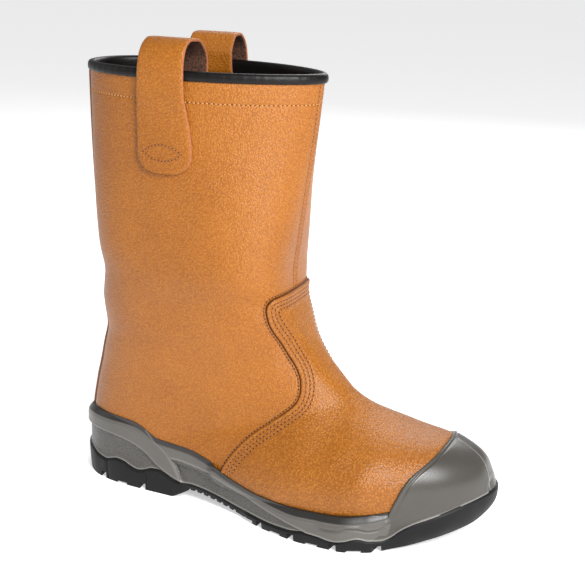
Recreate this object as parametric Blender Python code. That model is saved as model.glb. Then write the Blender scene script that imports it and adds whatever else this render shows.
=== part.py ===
"""Right rigger boot: a pull-on leather safety boot on a two-colour moulded sole.

Lengths are metres.  +X runs to the toe, -Y is the outer (lateral) side, +Z is up.
Tables give places along the boot from the back of the heel, on the floor.
"""

import math

import bmesh
import bpy
import numpy as np
from mathutils import Vector

# Overall sizes of the boot and its last
SOLE_LENGTH = 0.307
BALL_WIDTH = 0.114
COLLAR_HEIGHT = 0.298
INSTEP_HEIGHT = 0.150
SHAFT_BACK = 0.007
SHAFT_DEPTH = 0.169
SHAFT_WIDTH = 0.094

# Leather thicknesses, and the gap kept between neighbouring pieces
LEATHER = 0.0022
VAMP_LEATHER = 0.0020
STRIP_LEATHER = 0.0014
CLEARANCE = 0.0003

# Sole
SOLE_EDGE_HEIGHT = 0.052
HEEL_SEAT = 0.028
CAP_WALL = 0.0017
BUMPER_WALL = 0.0030
BAND_STEP = 0.0012
RIM_HEIGHT = 0.0040
RIM_INSET = 0.0026
TOE_TUCK = 0.0018
TOE_TUCK_X = 0.245
TOE_TUCK_RUN = 0.035
GROOVE_DEPTH = 0.0042
GROOVE_WIDTH = 0.0045
HEEL_REST_X = 0.045
INSOLE_THICKNESS = 0.0040

# Collar binding and pull loops
BINDING_DROP = 0.0042
BINDING_LEATHER = 0.0010
LOOP_X = 0.083
LOOP_WIDTH = 0.039
LOOP_LEATHER = 0.0022
LOOP_RISE = 0.021
LOOP_PATCH = 0.064
LOOP_TAIL = 0.034
LOOP_SPAN = 0.032
STRIP_HALF_WIDTH = 0.0135
STRIP_REACH = 0.060

# Facets of the lofts
SECTION_POINTS = 26
UPPER_RINGS = 30
SOLE_STATIONS = 50
LOOP_STEPS = 27
LOOP_COLUMNS_ACROSS = 4
OUTLINE_SAMPLES = 600
BED_STATIONS = 28
SHARP_ANGLE = math.radians(38)

# How far cutters reach past the boot
MARGIN = 0.010

# Level sections of the shaft.  Height is a share of COLLAR_HEIGHT, back and front are
# shares of SHAFT_DEPTH, half is a share of SHAFT_WIDTH; a blunt of 2 is an ellipse.
SHAFT_COLUMNS = ("height", "back", "front", "half", "front_blunt", "back_blunt")
SHAFT_ROWS = (
    (1.000, 0.000, 1.000, 0.490, 1.70, 2.20),
    (0.886, 0.006, 0.978, 0.505, 1.80, 2.20),
    (0.768, 0.016, 0.950, 0.522, 2.15, 2.25),
    (0.654, 0.030, 0.924, 0.532, 2.80, 2.30),
    (0.564, 0.046, 0.906, 0.538, 3.30, 2.30),
)

# Sections of the foot, each in a plane from the instep to the heel or the tread.
# Along and widths are shares of SOLE_LENGTH and BALL_WIDTH, heights of INSTEP_HEIGHT;
# widest is the share of the way from the lower end to the instep.
FOOT_COLUMNS = ("top_along", "top_height", "low_along", "low_height",
                "outer", "inner", "widest", "front_blunt", "back_blunt")
FOOT_ROWS = (
    (0.525, 1.000, 0.057, 0.920, 0.408, 0.408, 0.50, 3.3, 2.3),
    (0.538, 0.905, 0.059, 0.767, 0.390, 0.384, 0.48, 3.1, 2.3),
    (0.561, 0.796, 0.046, 0.600, 0.366, 0.354, 0.46, 2.8, 2.3),
    (0.597, 0.690, 0.030, 0.453, 0.352, 0.334, 0.45, 2.6, 2.4),
    (0.633, 0.620, 0.020, 0.300, 0.347, 0.316, 0.45, 2.4, 2.6),
    (0.662, 0.570, 0.039, 0.160, 0.350, 0.305, 0.45, 2.3, 3.0),
    (0.689, 0.533, 0.197, 0.133, 0.384, 0.305, 0.45, 2.3, 3.2),
    (0.715, 0.500, 0.361, 0.107, 0.445, 0.333, 0.42, 2.3, 3.2),
    (0.748, 0.468, 0.525, 0.073, 0.498, 0.375, 0.38, 2.3, 3.2),
    (0.780, 0.445, 0.656, 0.060, 0.505, 0.384, 0.35, 2.4, 3.2),
    (0.820, 0.429, 0.761, 0.063, 0.440, 0.368, 0.35, 2.4, 3.0),
    (0.866, 0.414, 0.846, 0.087, 0.335, 0.337, 0.36, 2.4, 2.8),
    (0.915, 0.384, 0.908, 0.113, 0.222, 0.272, 0.40, 2.4, 2.6),
    (0.954, 0.340, 0.953, 0.150, 0.098, 0.195, 0.45, 2.3, 2.4),
    (0.974, 0.256, 0.974, 0.207, 0.000, 0.120, 0.50, 2.2, 2.2),
)

# Middle line of the boot in plan: share of SOLE_LENGTH, share of BALL_WIDTH
MIDDLE_COLUMNS = ("along", "across")
MIDDLE_ROWS = (
    (0.00, 0.000),
    (0.30, -0.010),
    (0.52, -0.030),
    (0.68, -0.010),
    (0.85, 0.030),
    (1.00, 0.044),
)

# Pull loop from its patch over the collar to its tail: inward share of LOOP_SPAN; height
# share of LOOP_PATCH, LOOP_RISE or LOOP_TAIL (drop, rise, tail); width share of LOOP_WIDTH
LOOP_COLUMNS = ("stretch", "inward", "height", "width")
LOOP_ROWS = (
    ("patch", 0.00, -1.00, 0.50),
    ("patch", 0.00, -0.98, 0.76),
    ("patch", 0.00, -0.90, 0.94),
    ("patch", 0.00, -0.76, 1.00),
    ("patch", 0.00, -0.40, 0.99),
    ("patch", 0.00, -0.14, 0.90),
    ("rise", 0.00, 0.00, 0.86),
    ("rise", 0.06, 0.40, 0.85),
    ("rise", 0.22, 0.80, 0.84),
    ("rise", 0.50, 1.00, 0.83),
    ("rise", 0.80, 0.82, 0.83),
    ("rise", 0.98, 0.40, 0.83),
    ("rise", 1.00, 0.00, 0.84),
    ("tail", 0.88, -0.30, 0.88),
    ("tail", 0.52, -0.60, 0.92),
    ("tail", 0.24, -0.84, 0.96),
    ("tail", 0.20, -1.00, 0.96),
)

# Plan outline of the sole: share of SOLE_LENGTH, shares of BALL_WIDTH
OUTLINE_COLUMNS = ("along", "outer", "inner")
OUTLINE_ROWS = (
    (0.000, 0.000, 0.000),
    (0.010, -0.132, 0.126),
    (0.030, -0.208, 0.200),
    (0.066, -0.281, 0.268),
    (0.125, -0.328, 0.312),
    (0.200, -0.347, 0.322),
    (0.290, -0.360, 0.310),
    (0.370, -0.383, 0.286),
    (0.460, -0.440, 0.290),
    (0.550, -0.520, 0.340),
    (0.630, -0.567, 0.400),
    (0.710, -0.570, 0.430),
    (0.770, -0.515, 0.427),
    (0.820, -0.430, 0.410),
    (0.870, -0.370, 0.395),
    (0.920, -0.278, 0.350),
    (0.960, -0.165, 0.287),
    (0.985, -0.062, 0.208),
    (1.000, 0.075, 0.075),
)

# Side of the sole, in shares of SOLE_LENGTH and SOLE_EDGE_HEIGHT: top edge, lower edge of
# the smooth band, line between grey and black, and the tread
EDGE_COLUMNS = ("along", "top", "band", "line", "tread")
EDGE_ROWS = (
    (0.000, 0.92, 0.64, 0.29, 0.000),
    (0.065, 0.99, 0.63, 0.31, 0.000),
    (0.140, 0.99, 0.58, 0.375, 0.000),
    (0.190, 0.95, 0.50, 0.275, 0.000),
    (0.232, 0.85, 0.40, 0.345, 0.000),
    (0.275, 0.79, 0.45, 0.285, 0.000),
    (0.330, 0.77, 0.40, 0.245, 0.150),
    (0.400, 0.67, 0.36, 0.220, 0.100),
    (0.465, 0.53, 0.29, 0.170, 0.040),
    (0.520, 0.46, 0.22, 0.145, 0.000),
    (0.600, 0.42, 0.19, 0.140, 0.000),
    (0.700, 0.45, 0.20, 0.145, 0.000),
    (0.780, 0.50, 0.23, 0.165, 0.000),
    (0.830, 0.57, 0.34, 0.280, 0.045),
    (0.890, 0.68, 0.49, 0.445, 0.110),
    (0.950, 0.79, 0.62, 0.580, 0.205),
    (1.000, 0.86, 0.69, 0.650, 0.290),
)

# Bed under the foot, and the plane between the grey and black layers inside the sole:
# share of SOLE_LENGTH, shares of HEEL_SEAT
BED_COLUMNS = ("along", "bed", "core")
BED_ROWS = (
    (0.00, 1.00, 0.40),
    (0.20, 1.00, 0.40),
    (0.33, 0.90, 0.38),
    (0.42, 0.80, 0.32),
    (0.50, 0.69, 0.24),
    (0.58, 0.62, 0.20),
    (0.72, 0.57, 0.20),
    (0.84, 0.66, 0.26),
    (0.93, 0.80, 0.40),
    (1.00, 0.92, 0.56),
)

# Edge of the vamp, seen from the side: shares of SOLE_LENGTH and INSTEP_HEIGHT
VAMP_EDGE = (
    (1.100, 1.060),
    (0.520, 1.035),
    (0.503, 1.025),
    (0.496, 0.980),
    (0.501, 0.925),
    (0.524, 0.827),
    (0.551, 0.720),
    (0.563, 0.647),
    (0.564, 0.587),
    (0.552, 0.522),
    (0.515, 0.447),
    (0.462, 0.353),
    (0.425, 0.240),
    (0.400, 0.060),
    (1.100, 0.060),
)

# Rear edge of the moulded toe cap, seen from the side: same shares
CAP_EDGE = (
    (0.797, 0.115),
    (0.916, 0.560),
    (1.100, 0.560),
    (1.100, 0.330),
)

# Chevron grooves of the tread: place along the boot at the edge, as shares of SOLE_LENGTH
HEEL_GROOVES = (0.100, 0.212)
BALL_GROOVES = (0.515, 0.602, 0.701, 0.784)
GROOVE_SWEEP = 0.030


def column(columns, rows, name):
    """One named column of a table as an array."""
    return np.array([row[columns.index(name)] for row in rows], dtype=float)


def smooth(places, values, place):
    """Height at a place of the smooth curve through a column, with no overshoot."""
    steps = np.diff(values) / np.diff(places)
    turns = [0 if a * b <= 0 else 2 * a * b / (a + b) for a, b in zip(steps, steps[1:])]
    slopes = [steps[0], *turns, steps[-1]]
    i = int(np.clip(np.searchsorted(places, place) - 1, 0, len(places) - 2))
    gap = places[i + 1] - places[i]
    t = (place - places[i]) / gap
    rise = 3 * t * t - 2 * t ** 3
    return ((1 - rise) * values[i] + rise * values[i + 1]
            + (t ** 3 - 2 * t * t + t) * gap * slopes[i]
            + (t ** 3 - t * t) * gap * slopes[i + 1])


def read(columns, rows, name, along):
    """Value of one column at a share of the sole's length."""
    places = column(columns, rows, columns[0])
    return smooth(places, column(columns, rows, name), min(max(along, 0.0), 1.0))


def middle_line(x):
    """Sideways place of the boot's middle line."""
    return read(MIDDLE_COLUMNS, MIDDLE_ROWS, "across", x / SOLE_LENGTH) * BALL_WIDTH


def bed_height(x):
    return read(BED_COLUMNS, BED_ROWS, "bed", x / SOLE_LENGTH) * HEEL_SEAT


def core_height(x):
    return read(BED_COLUMNS, BED_ROWS, "core", x / SOLE_LENGTH) * HEEL_SEAT


def edge_height(x, name):
    return read(EDGE_COLUMNS, EDGE_ROWS, name, x / SOLE_LENGTH) * SOLE_EDGE_HEIGHT


def section_rows():
    """All sections of the upper in metres, from the collar to the toe."""
    rows = []
    for height, back, front, half, front_blunt, back_blunt in SHAFT_ROWS:
        z = height * COLLAR_HEIGHT
        half_width = half * SHAFT_WIDTH
        rows.append((SHAFT_BACK + front * SHAFT_DEPTH, z, SHAFT_BACK + back * SHAFT_DEPTH, z,
                     half_width, half_width, 0.5, front_blunt, back_blunt))
    for row in FOOT_ROWS:
        top_along, top_height, low_along, low_height, outer, inner = row[:6]
        rows.append((top_along * SOLE_LENGTH, top_height * INSTEP_HEIGHT,
                     low_along * SOLE_LENGTH, low_height * INSTEP_HEIGHT,
                     outer * BALL_WIDTH, inner * BALL_WIDTH, *row[6:]))
    return np.array(rows)


def section_ring(row):
    """Points of one section, from the front down the outer side and back up the inner."""
    top_x, top_z, low_x, low_z, outer, inner, widest, front_blunt, back_blunt = row
    top = Vector((top_x, middle_line(top_x), top_z))
    low = Vector((low_x, middle_line(low_x), low_z))
    waist = low.lerp(top, widest)
    points = []
    for k in range(SECTION_POINTS):
        angle = 2 * math.pi * k / SECTION_POINTS
        end, blunt = (top, front_blunt) if math.cos(angle) > 0 else (low, back_blunt)
        reach = abs(math.cos(angle)) ** (2 / blunt)
        across = abs(math.sin(angle)) ** (2 / blunt)
        side = -outer if math.sin(angle) > 0 else inner
        point = waist.lerp(end, reach)
        point.y = end.y * (1 - across) + side * across
        points.append(point)
    return points


def upper_rings():
    """Rings of the outer face of the upper; the first one stands above the collar."""
    table = section_rows()
    places = np.arange(len(table), dtype=float)
    rings = []
    for place in np.linspace(0, len(table) - 1, UPPER_RINGS):
        row = [smooth(places, table[:, c], place) for c in range(table.shape[1])]
        rings.append(section_ring(row))
    above = [point + Vector((0, 0, MARGIN)) for point in rings[0]]
    return [above] + rings[1:]


def face_outwards(bm):
    """Turn every face of a closed bmesh to point out of it."""
    bmesh.ops.recalc_face_normals(bm, faces=bm.faces)
    if bm.calc_volume(signed=True) < 0:
        bmesh.ops.reverse_faces(bm, faces=bm.faces)


def keep_mesh(name, bm, colour=None, roughness=0.5, guide=False):
    """Turn a bmesh into a named object with its material, or into a hidden cutter."""
    face_outwards(bm)
    mesh = bpy.data.meshes.new(name)
    bm.to_mesh(mesh)
    bm.free()
    mesh.shade_smooth()
    mesh.set_sharp_from_angle(angle=SHARP_ANGLE)
    piece = bpy.data.objects.new(name, mesh)
    bpy.context.collection.objects.link(piece)
    if guide:
        piece.hide_render = True
        piece.display_type = "WIRE"
    else:
        material = bpy.data.materials.new(name)
        material.use_nodes = True
        shader = material.node_tree.nodes["Principled BSDF"]
        shader.inputs["Base Color"].default_value = (*colour, 1)
        shader.inputs["Roughness"].default_value = roughness
        shader.inputs["Metallic"].default_value = 0.0
        mesh.materials.append(material)
    piece.parent = boot
    return piece


def cut(piece, tool, operation, solver="EXACT"):
    """Boolean one piece with a cutter, in order."""
    modifier = piece.modifiers.new(tool.name, "BOOLEAN")
    modifier.operation = operation
    modifier.solver = solver
    modifier.object = tool


def loft(rings, close_ends):
    """Closed bmesh through rings of equal count; the ends are filled by close_ends."""
    bm = bmesh.new()
    loops = [[bm.verts.new(point) for point in ring] for ring in rings]
    for first, second in zip(loops, loops[1:]):
        for k in range(len(first)):
            n = (k + 1) % len(first)
            bm.faces.new((first[k], first[n], second[n], second[k]))
    close_ends(bm, loops[0])
    close_ends(bm, loops[-1])
    return bm


def fill_flat(bm, loop):
    """Close a flat or nearly flat ring with one face."""
    bm.faces.new(loop)


def fill_across(bm, loop):
    """Close a long curved ring with strips from its one side to its other."""
    half = len(loop) // 2
    for k in range(half):
        left = [loop[k], loop[k + 1]]
        right = [loop[-k - 1], loop[-k] if k else loop[0]]
        corners = []
        for vert in (*left, *right):
            if vert not in corners:
                corners.append(vert)
        bm.faces.new(corners)


def form(name, offset, guide=True, **finish):
    """Solid within the upper's outer face, grown or shrunk by an offset."""
    bm = loft(upper_rings(), fill_flat)
    bmesh.ops.triangulate(bm, faces=bm.faces, quad_method="FIXED")
    face_outwards(bm)
    bm.normal_update()
    normals = [vert.normal.copy() for vert in bm.verts]
    for vert, normal in zip(bm.verts, normals):
        vert.co += normal * offset
    return keep_mesh(name, bm, guide=guide, **finish)


def prism(name, outline, half_width, middle=0.0):
    """Cutter with an outline seen from the side, drawn straight across the boot."""
    bm = bmesh.new()
    near = [bm.verts.new((x, middle - half_width, z)) for x, z in outline]
    far = [bm.verts.new((x, middle + half_width, z)) for x, z in outline]
    bm.faces.new(near)
    bm.faces.new(reversed(far))
    for k in range(len(outline)):
        n = (k + 1) % len(outline)
        bm.faces.new((near[k], near[n], far[n], far[k]))
    return keep_mesh(name, bm, guide=True)


def side_outline(rows, grow=0.0):
    """A side outline in metres, pushed outwards by a small distance."""
    points = [Vector((x * SOLE_LENGTH, z * INSTEP_HEIGHT)) for x, z in rows]
    centre = sum(points, Vector((0, 0))) / len(points)
    area = sum(a.cross(b) for a, b in zip(points, points[1:] + points[:1]))
    turn = 1 if area > 0 else -1
    grown = []
    for before, here, after in zip(points[-1:] + points[:-1], points, points[1:] + points[:1]):
        run = (here - before).normalized() + (after - here).normalized()
        run.normalize()
        grown.append(here + Vector((run.y, -run.x)) * grow * turn)
    return [tuple(point) for point in grown]


def bed_outline(lift, top):
    """Side outline from the bed, raised by a lift, up to a height or a thickness above it."""
    stations = np.linspace(-MARGIN, SOLE_LENGTH + MARGIN, BED_STATIONS)
    lower = [(x, bed_height(x) + lift) for x in stations]
    upper = [(x, top(x)) for x in reversed(stations)]
    return lower + upper


def sole_outline():
    """Plan points of the sole, evenly spaced along it: outer side out, inner side back."""
    along = column(OUTLINE_COLUMNS, OUTLINE_ROWS, "along")
    turn = np.arccos(1 - 2 * along)
    fine = np.linspace(0, math.pi, OUTLINE_SAMPLES)
    x = SOLE_LENGTH * (1 - np.cos(fine)) / 2
    sides = []
    for name in ("outer", "inner"):
        values = column(OUTLINE_COLUMNS, OUTLINE_ROWS, name) * BALL_WIDTH
        sides.append(np.array([smooth(turn, values, t) for t in fine]))
    run = np.concatenate(([0], np.cumsum(np.hypot(np.diff(x), np.diff(sides[0])))))
    stops = np.interp(np.linspace(0, run[-1], SOLE_STATIONS + 1), run, fine)
    outer = [Vector((np.interp(s, fine, x), np.interp(s, fine, sides[0]))) for s in stops]
    inner = [Vector((np.interp(s, fine, x), np.interp(s, fine, sides[1]))) for s in stops]
    return outer + inner[-2:0:-1]


def sole_ring(inset, height, tuck=0.0):
    """Ring of the sole: inset from its outline, with a further tuck round the toe."""
    outline = sole_outline()
    ring = []
    for before, here, after in zip(outline[-1:] + outline[:-1], outline,
                                   outline[1:] + outline[:1]):
        run = (after - before).normalized()
        inward = Vector((-run.y, run.x))
        share = min(max((here.x - TOE_TUCK_X) / TOE_TUCK_RUN, 0.0), 1.0)
        point = here + inward * (inset + tuck * share)
        ring.append(Vector((point.x, point.y, height(here.x))))
    return ring


def make_upper():
    upper = form("upper", 0.0, guide=False, colour=(0.58, 0.24, 0.05), roughness=0.5)
    cut(upper, form("upper_inside", -LEATHER), "DIFFERENCE")
    bed_edge = bed_outline(CLEARANCE, lambda x: COLLAR_HEIGHT)
    cut(upper, prism("upper_limits", bed_edge, BALL_WIDTH), "INTERSECT")
    return upper


def make_insole():
    insole = form("insole", -LEATHER - 2 * CLEARANCE, guide=False,
                  colour=(0.05, 0.05, 0.05), roughness=0.9)
    board = bed_outline(CLEARANCE, lambda x: bed_height(x) + CLEARANCE + INSOLE_THICKNESS)
    cut(insole, prism("insole_limits", board, BALL_WIDTH), "INTERSECT")
    return insole


def make_vamp():
    vamp = form("vamp", CLEARANCE + VAMP_LEATHER, guide=False,
                colour=(0.58, 0.24, 0.05), roughness=0.5)
    cut(vamp, form("vamp_inside", CLEARANCE), "DIFFERENCE", "MANIFOLD")
    vamp_edge = prism("vamp_limits", side_outline(VAMP_EDGE), BALL_WIDTH)
    cut(vamp, vamp_edge, "INTERSECT", "MANIFOLD")
    bed_edge = bed_outline(CLEARANCE, lambda x: COLLAR_HEIGHT)
    cut(vamp, prism("vamp_floor", bed_edge, BALL_WIDTH), "INTERSECT", "MANIFOLD")
    return vamp


def strip_outline(grow):
    """Side outline around the back seam's strip."""
    top = COLLAR_HEIGHT - BINDING_DROP - CLEARANCE
    return [(-MARGIN, 0), (STRIP_REACH, 0), (STRIP_REACH, top + grow), (-MARGIN, top + grow)]


def shaft_face(x, z, side):
    """Sideways place of the outer face of the shaft, on one side."""
    places = column(SHAFT_COLUMNS, SHAFT_ROWS, "height")[::-1] * COLLAR_HEIGHT
    at_height = {}
    for name in SHAFT_COLUMNS[1:]:
        at_height[name] = smooth(places, column(SHAFT_COLUMNS, SHAFT_ROWS, name)[::-1], z)
    back = SHAFT_BACK + at_height["back"] * SHAFT_DEPTH
    front = SHAFT_BACK + at_height["front"] * SHAFT_DEPTH
    centre = (back + front) / 2
    share = abs(x - centre) / ((front - back) / 2)
    end, blunt = (front, "front_blunt") if x > centre else (back, "back_blunt")
    across = (1 - share ** at_height[blunt]) ** (1 / at_height[blunt])
    return middle_line(end) * (1 - across) + side * at_height["half"] * SHAFT_WIDTH * across


def loop_path():
    """Middle of the loop's leather: distance in from the shaft's face, height, width."""
    seat = CLEARANCE + LOOP_LEATHER / 2
    over_binding = seat + CLEARANCE + BINDING_LEATHER
    scale = {"patch": LOOP_PATCH, "rise": LOOP_RISE, "tail": LOOP_TAIL}
    rows = []
    for stretch, inward, height, width in LOOP_ROWS:
        z = COLLAR_HEIGHT + height * scale[stretch]
        outward = seat if z < COLLAR_HEIGHT - 3 * BINDING_DROP else over_binding
        rows.append((inward * (LOOP_SPAN + outward) - outward, z, width * LOOP_WIDTH))
    table = np.array(rows)
    places = np.arange(len(table), dtype=float)
    stops = np.linspace(0, len(table) - 1, LOOP_STEPS)
    return [[smooth(places, table[:, c], stop) for c in range(3)] for stop in stops]


def make_pull_loop(name, side):
    """Strap folded over the collar: stitched patch outside, open arch, tail inside."""
    path = loop_path()
    rings = []
    for i, (inward, z, width) in enumerate(path):
        before = path[max(i - 1, 0)]
        after = path[min(i + 1, len(path) - 1)]
        run = Vector((after[0] - before[0], after[1] - before[1])).normalized()
        ring = []
        for face in (-1, 1):
            for share in np.linspace(-face, face, LOOP_COLUMNS_ACROSS):
                x = LOOP_X + share * width / 2
                away = inward + run.y * face * LOOP_LEATHER / 2
                height = z - run.x * face * LOOP_LEATHER / 2
                face_y = shaft_face(x, min(z, COLLAR_HEIGHT), side)
                ring.append((x, face_y - side * away, height))
        rings.append(ring)
    return keep_mesh(name, loft(rings, fill_flat), colour=(0.58, 0.24, 0.05), roughness=0.5)


def make_collar_binding():
    """Piping folded over the raw edge of the collar."""
    low = COLLAR_HEIGHT - BINDING_DROP
    high = COLLAR_HEIGHT + CLEARANCE + BINDING_LEATHER
    binding = form("collar_binding", CLEARANCE + BINDING_LEATHER, guide=False,
                   colour=(0.02, 0.02, 0.02), roughness=0.5)
    cut(binding, form("binding_inside", -LEATHER - CLEARANCE - BINDING_LEATHER), "DIFFERENCE")
    reach = (-MARGIN, SOLE_LENGTH)
    slab = [(reach[0], low), (reach[1], low), (reach[1], high), (reach[0], high)]
    cut(binding, prism("binding_limits", slab, BALL_WIDTH), "INTERSECT")
    room = form("binding_room", CLEARANCE)
    cut(room, form("binding_room_inside", -LEATHER - CLEARANCE), "DIFFERENCE")
    top = COLLAR_HEIGHT + CLEARANCE
    below = [(reach[0], 0), (reach[1], 0), (reach[1], top), (reach[0], top)]
    cut(room, prism("binding_room_limits", below, BALL_WIDTH), "INTERSECT")
    cut(binding, room, "DIFFERENCE")
    return binding


def make_back_strip():
    strip = form("back_strip", CLEARANCE + STRIP_LEATHER, guide=False,
                 colour=(0.36, 0.15, 0.05), roughness=0.5)
    cut(strip, prism("strip_limits", strip_outline(0), STRIP_HALF_WIDTH), "INTERSECT")
    cut(strip, form("strip_inside", CLEARANCE), "DIFFERENCE")
    bed_edge = bed_outline(CLEARANCE, lambda x: COLLAR_HEIGHT)
    cut(strip, prism("strip_floor", bed_edge, BALL_WIDTH), "INTERSECT")
    return strip


def make_midsole():
    """Grey layer: cupped wall with its rim and band, and the toe cap moulded with it."""
    rings = [
        sole_ring(BUMPER_WALL + CLEARANCE, core_height),
        sole_ring(BUMPER_WALL + CLEARANCE, lambda x: edge_height(x, "line")),
        sole_ring(BAND_STEP, lambda x: edge_height(x, "line"), TOE_TUCK / 2),
        sole_ring(BAND_STEP, lambda x: edge_height(x, "band"), TOE_TUCK / 2),
        sole_ring(0.0, lambda x: edge_height(x, "band") + BAND_STEP, TOE_TUCK),
        sole_ring(RIM_INSET / 2, lambda x: edge_height(x, "top") - RIM_HEIGHT, TOE_TUCK),
        sole_ring(RIM_INSET + BAND_STEP, lambda x: edge_height(x, "top"), TOE_TUCK),
    ]
    midsole = keep_mesh("midsole", loft(rings, fill_across),
                        colour=(0.13, 0.125, 0.12), roughness=0.6)
    cap = form("cap_form", CLEARANCE + VAMP_LEATHER + CLEARANCE + CAP_WALL)
    cut(cap, prism("cap_limits", side_outline(CAP_EDGE), BALL_WIDTH), "INTERSECT")
    cut(midsole, cap, "UNION", "MANIFOLD")
    room = form("foot_room", CLEARANCE)
    vamp_room = form("vamp_room", 2 * CLEARANCE + VAMP_LEATHER)
    cut(vamp_room, prism("vamp_room_limits", side_outline(VAMP_EDGE, CLEARANCE), BALL_WIDTH),
        "INTERSECT")
    cut(room, vamp_room, "UNION")
    strip_room = form("strip_room", 2 * CLEARANCE + STRIP_LEATHER)
    cut(strip_room, prism("strip_room_limits", strip_outline(CLEARANCE),
                          STRIP_HALF_WIDTH + CLEARANCE), "INTERSECT")
    cut(room, strip_room, "UNION")
    above_bed = bed_outline(0.0, lambda x: COLLAR_HEIGHT)
    cut(room, prism("room_floor", above_bed, BALL_WIDTH), "INTERSECT")
    cut(midsole, room, "DIFFERENCE", "MANIFOLD")
    return midsole


def groove(name, along, sweep):
    """Chevron cutter across the tread at one place along the boot."""
    bm = bmesh.new()
    x = along * SOLE_LENGTH
    half = GROOVE_WIDTH / 2
    reach = BALL_WIDTH
    bend = sweep * SOLE_LENGTH
    plan = [(x - half, -reach), (x + half, -reach), (x + half + bend, 0), (x + half, reach),
            (x - half, reach), (x - half + bend, 0)]
    low = [bm.verts.new((px, py, -MARGIN)) for px, py in plan]
    lift = edge_height(x, "tread") + GROOVE_DEPTH
    high = [bm.verts.new((px, py, lift)) for px, py in plan]
    bm.faces.new(low)
    bm.faces.new(reversed(high))
    for k in range(len(plan)):
        n = (k + 1) % len(plan)
        bm.faces.new((low[k], low[n], high[n], high[k]))
    return keep_mesh(name, bm, guide=True)


def make_outsole():
    """Black layer: heel block, raised waist, forefoot and toe bumper with the main lugs."""
    rings = [
        sole_ring(BUMPER_WALL, lambda x: core_height(x) - CLEARANCE),
        sole_ring(BUMPER_WALL, lambda x: edge_height(x, "line") - CLEARANCE),
        sole_ring(BAND_STEP, lambda x: edge_height(x, "line") - CLEARANCE),
        sole_ring(0.0, lambda x: (edge_height(x, "line") + 2 * edge_height(x, "tread")) / 3),
        sole_ring(2 * BAND_STEP, lambda x: edge_height(x, "tread")),
    ]
    outsole = keep_mesh("outsole", loft(rings, fill_across),
                        colour=(0.03, 0.03, 0.033), roughness=0.7)
    for k, along in enumerate(HEEL_GROOVES):
        cut(outsole, groove(f"heel_groove_{k + 1}", along, -GROOVE_SWEEP), "DIFFERENCE")
    for k, along in enumerate(BALL_GROOVES):
        cut(outsole, groove(f"ball_groove_{k + 1}", along, GROOVE_SWEEP), "DIFFERENCE")
    return outsole


for leftover in list(bpy.data.objects):
    bpy.data.objects.remove(leftover)

boot = bpy.data.objects.new("boot", None)
boot.location.x = -HEEL_REST_X
bpy.context.collection.objects.link(boot)

make_upper()
make_insole()
make_vamp()
make_back_strip()
make_collar_binding()
make_pull_loop("pull_loop_outer", -1)
make_pull_loop("pull_loop_inner", 1)
make_midsole()
make_outsole()
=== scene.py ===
"""Right rigger boot in tan leather on a grey and black moulded sole: the looks."""

import math

import bmesh
import bpy
import numpy as np
from mathutils import Matrix, Vector
from mathutils.bvhtree import BVHTree
from mathutils.kdtree import KDTree


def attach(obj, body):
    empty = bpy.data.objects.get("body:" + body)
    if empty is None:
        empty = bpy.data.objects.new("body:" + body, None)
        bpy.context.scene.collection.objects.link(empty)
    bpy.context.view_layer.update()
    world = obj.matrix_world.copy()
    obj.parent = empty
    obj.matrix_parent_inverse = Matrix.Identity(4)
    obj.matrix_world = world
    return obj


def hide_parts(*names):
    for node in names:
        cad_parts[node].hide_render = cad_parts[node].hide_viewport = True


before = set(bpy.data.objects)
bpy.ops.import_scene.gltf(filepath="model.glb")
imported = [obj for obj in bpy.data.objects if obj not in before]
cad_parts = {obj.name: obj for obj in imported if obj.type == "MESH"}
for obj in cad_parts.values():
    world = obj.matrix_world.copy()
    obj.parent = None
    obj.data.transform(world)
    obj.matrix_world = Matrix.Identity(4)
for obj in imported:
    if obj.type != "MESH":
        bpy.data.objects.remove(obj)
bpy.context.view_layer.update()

# The last: the wooden form of the foot and leg that the leather is drawn over. Each row is
# a section in mm from the heel's back: a point in front or on the instep, a point behind or
# on the tread, widths to the outer and inner side, where it is widest, how blunt its ends are.
MM = 0.001
HEEL_REST = 45.0
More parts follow.
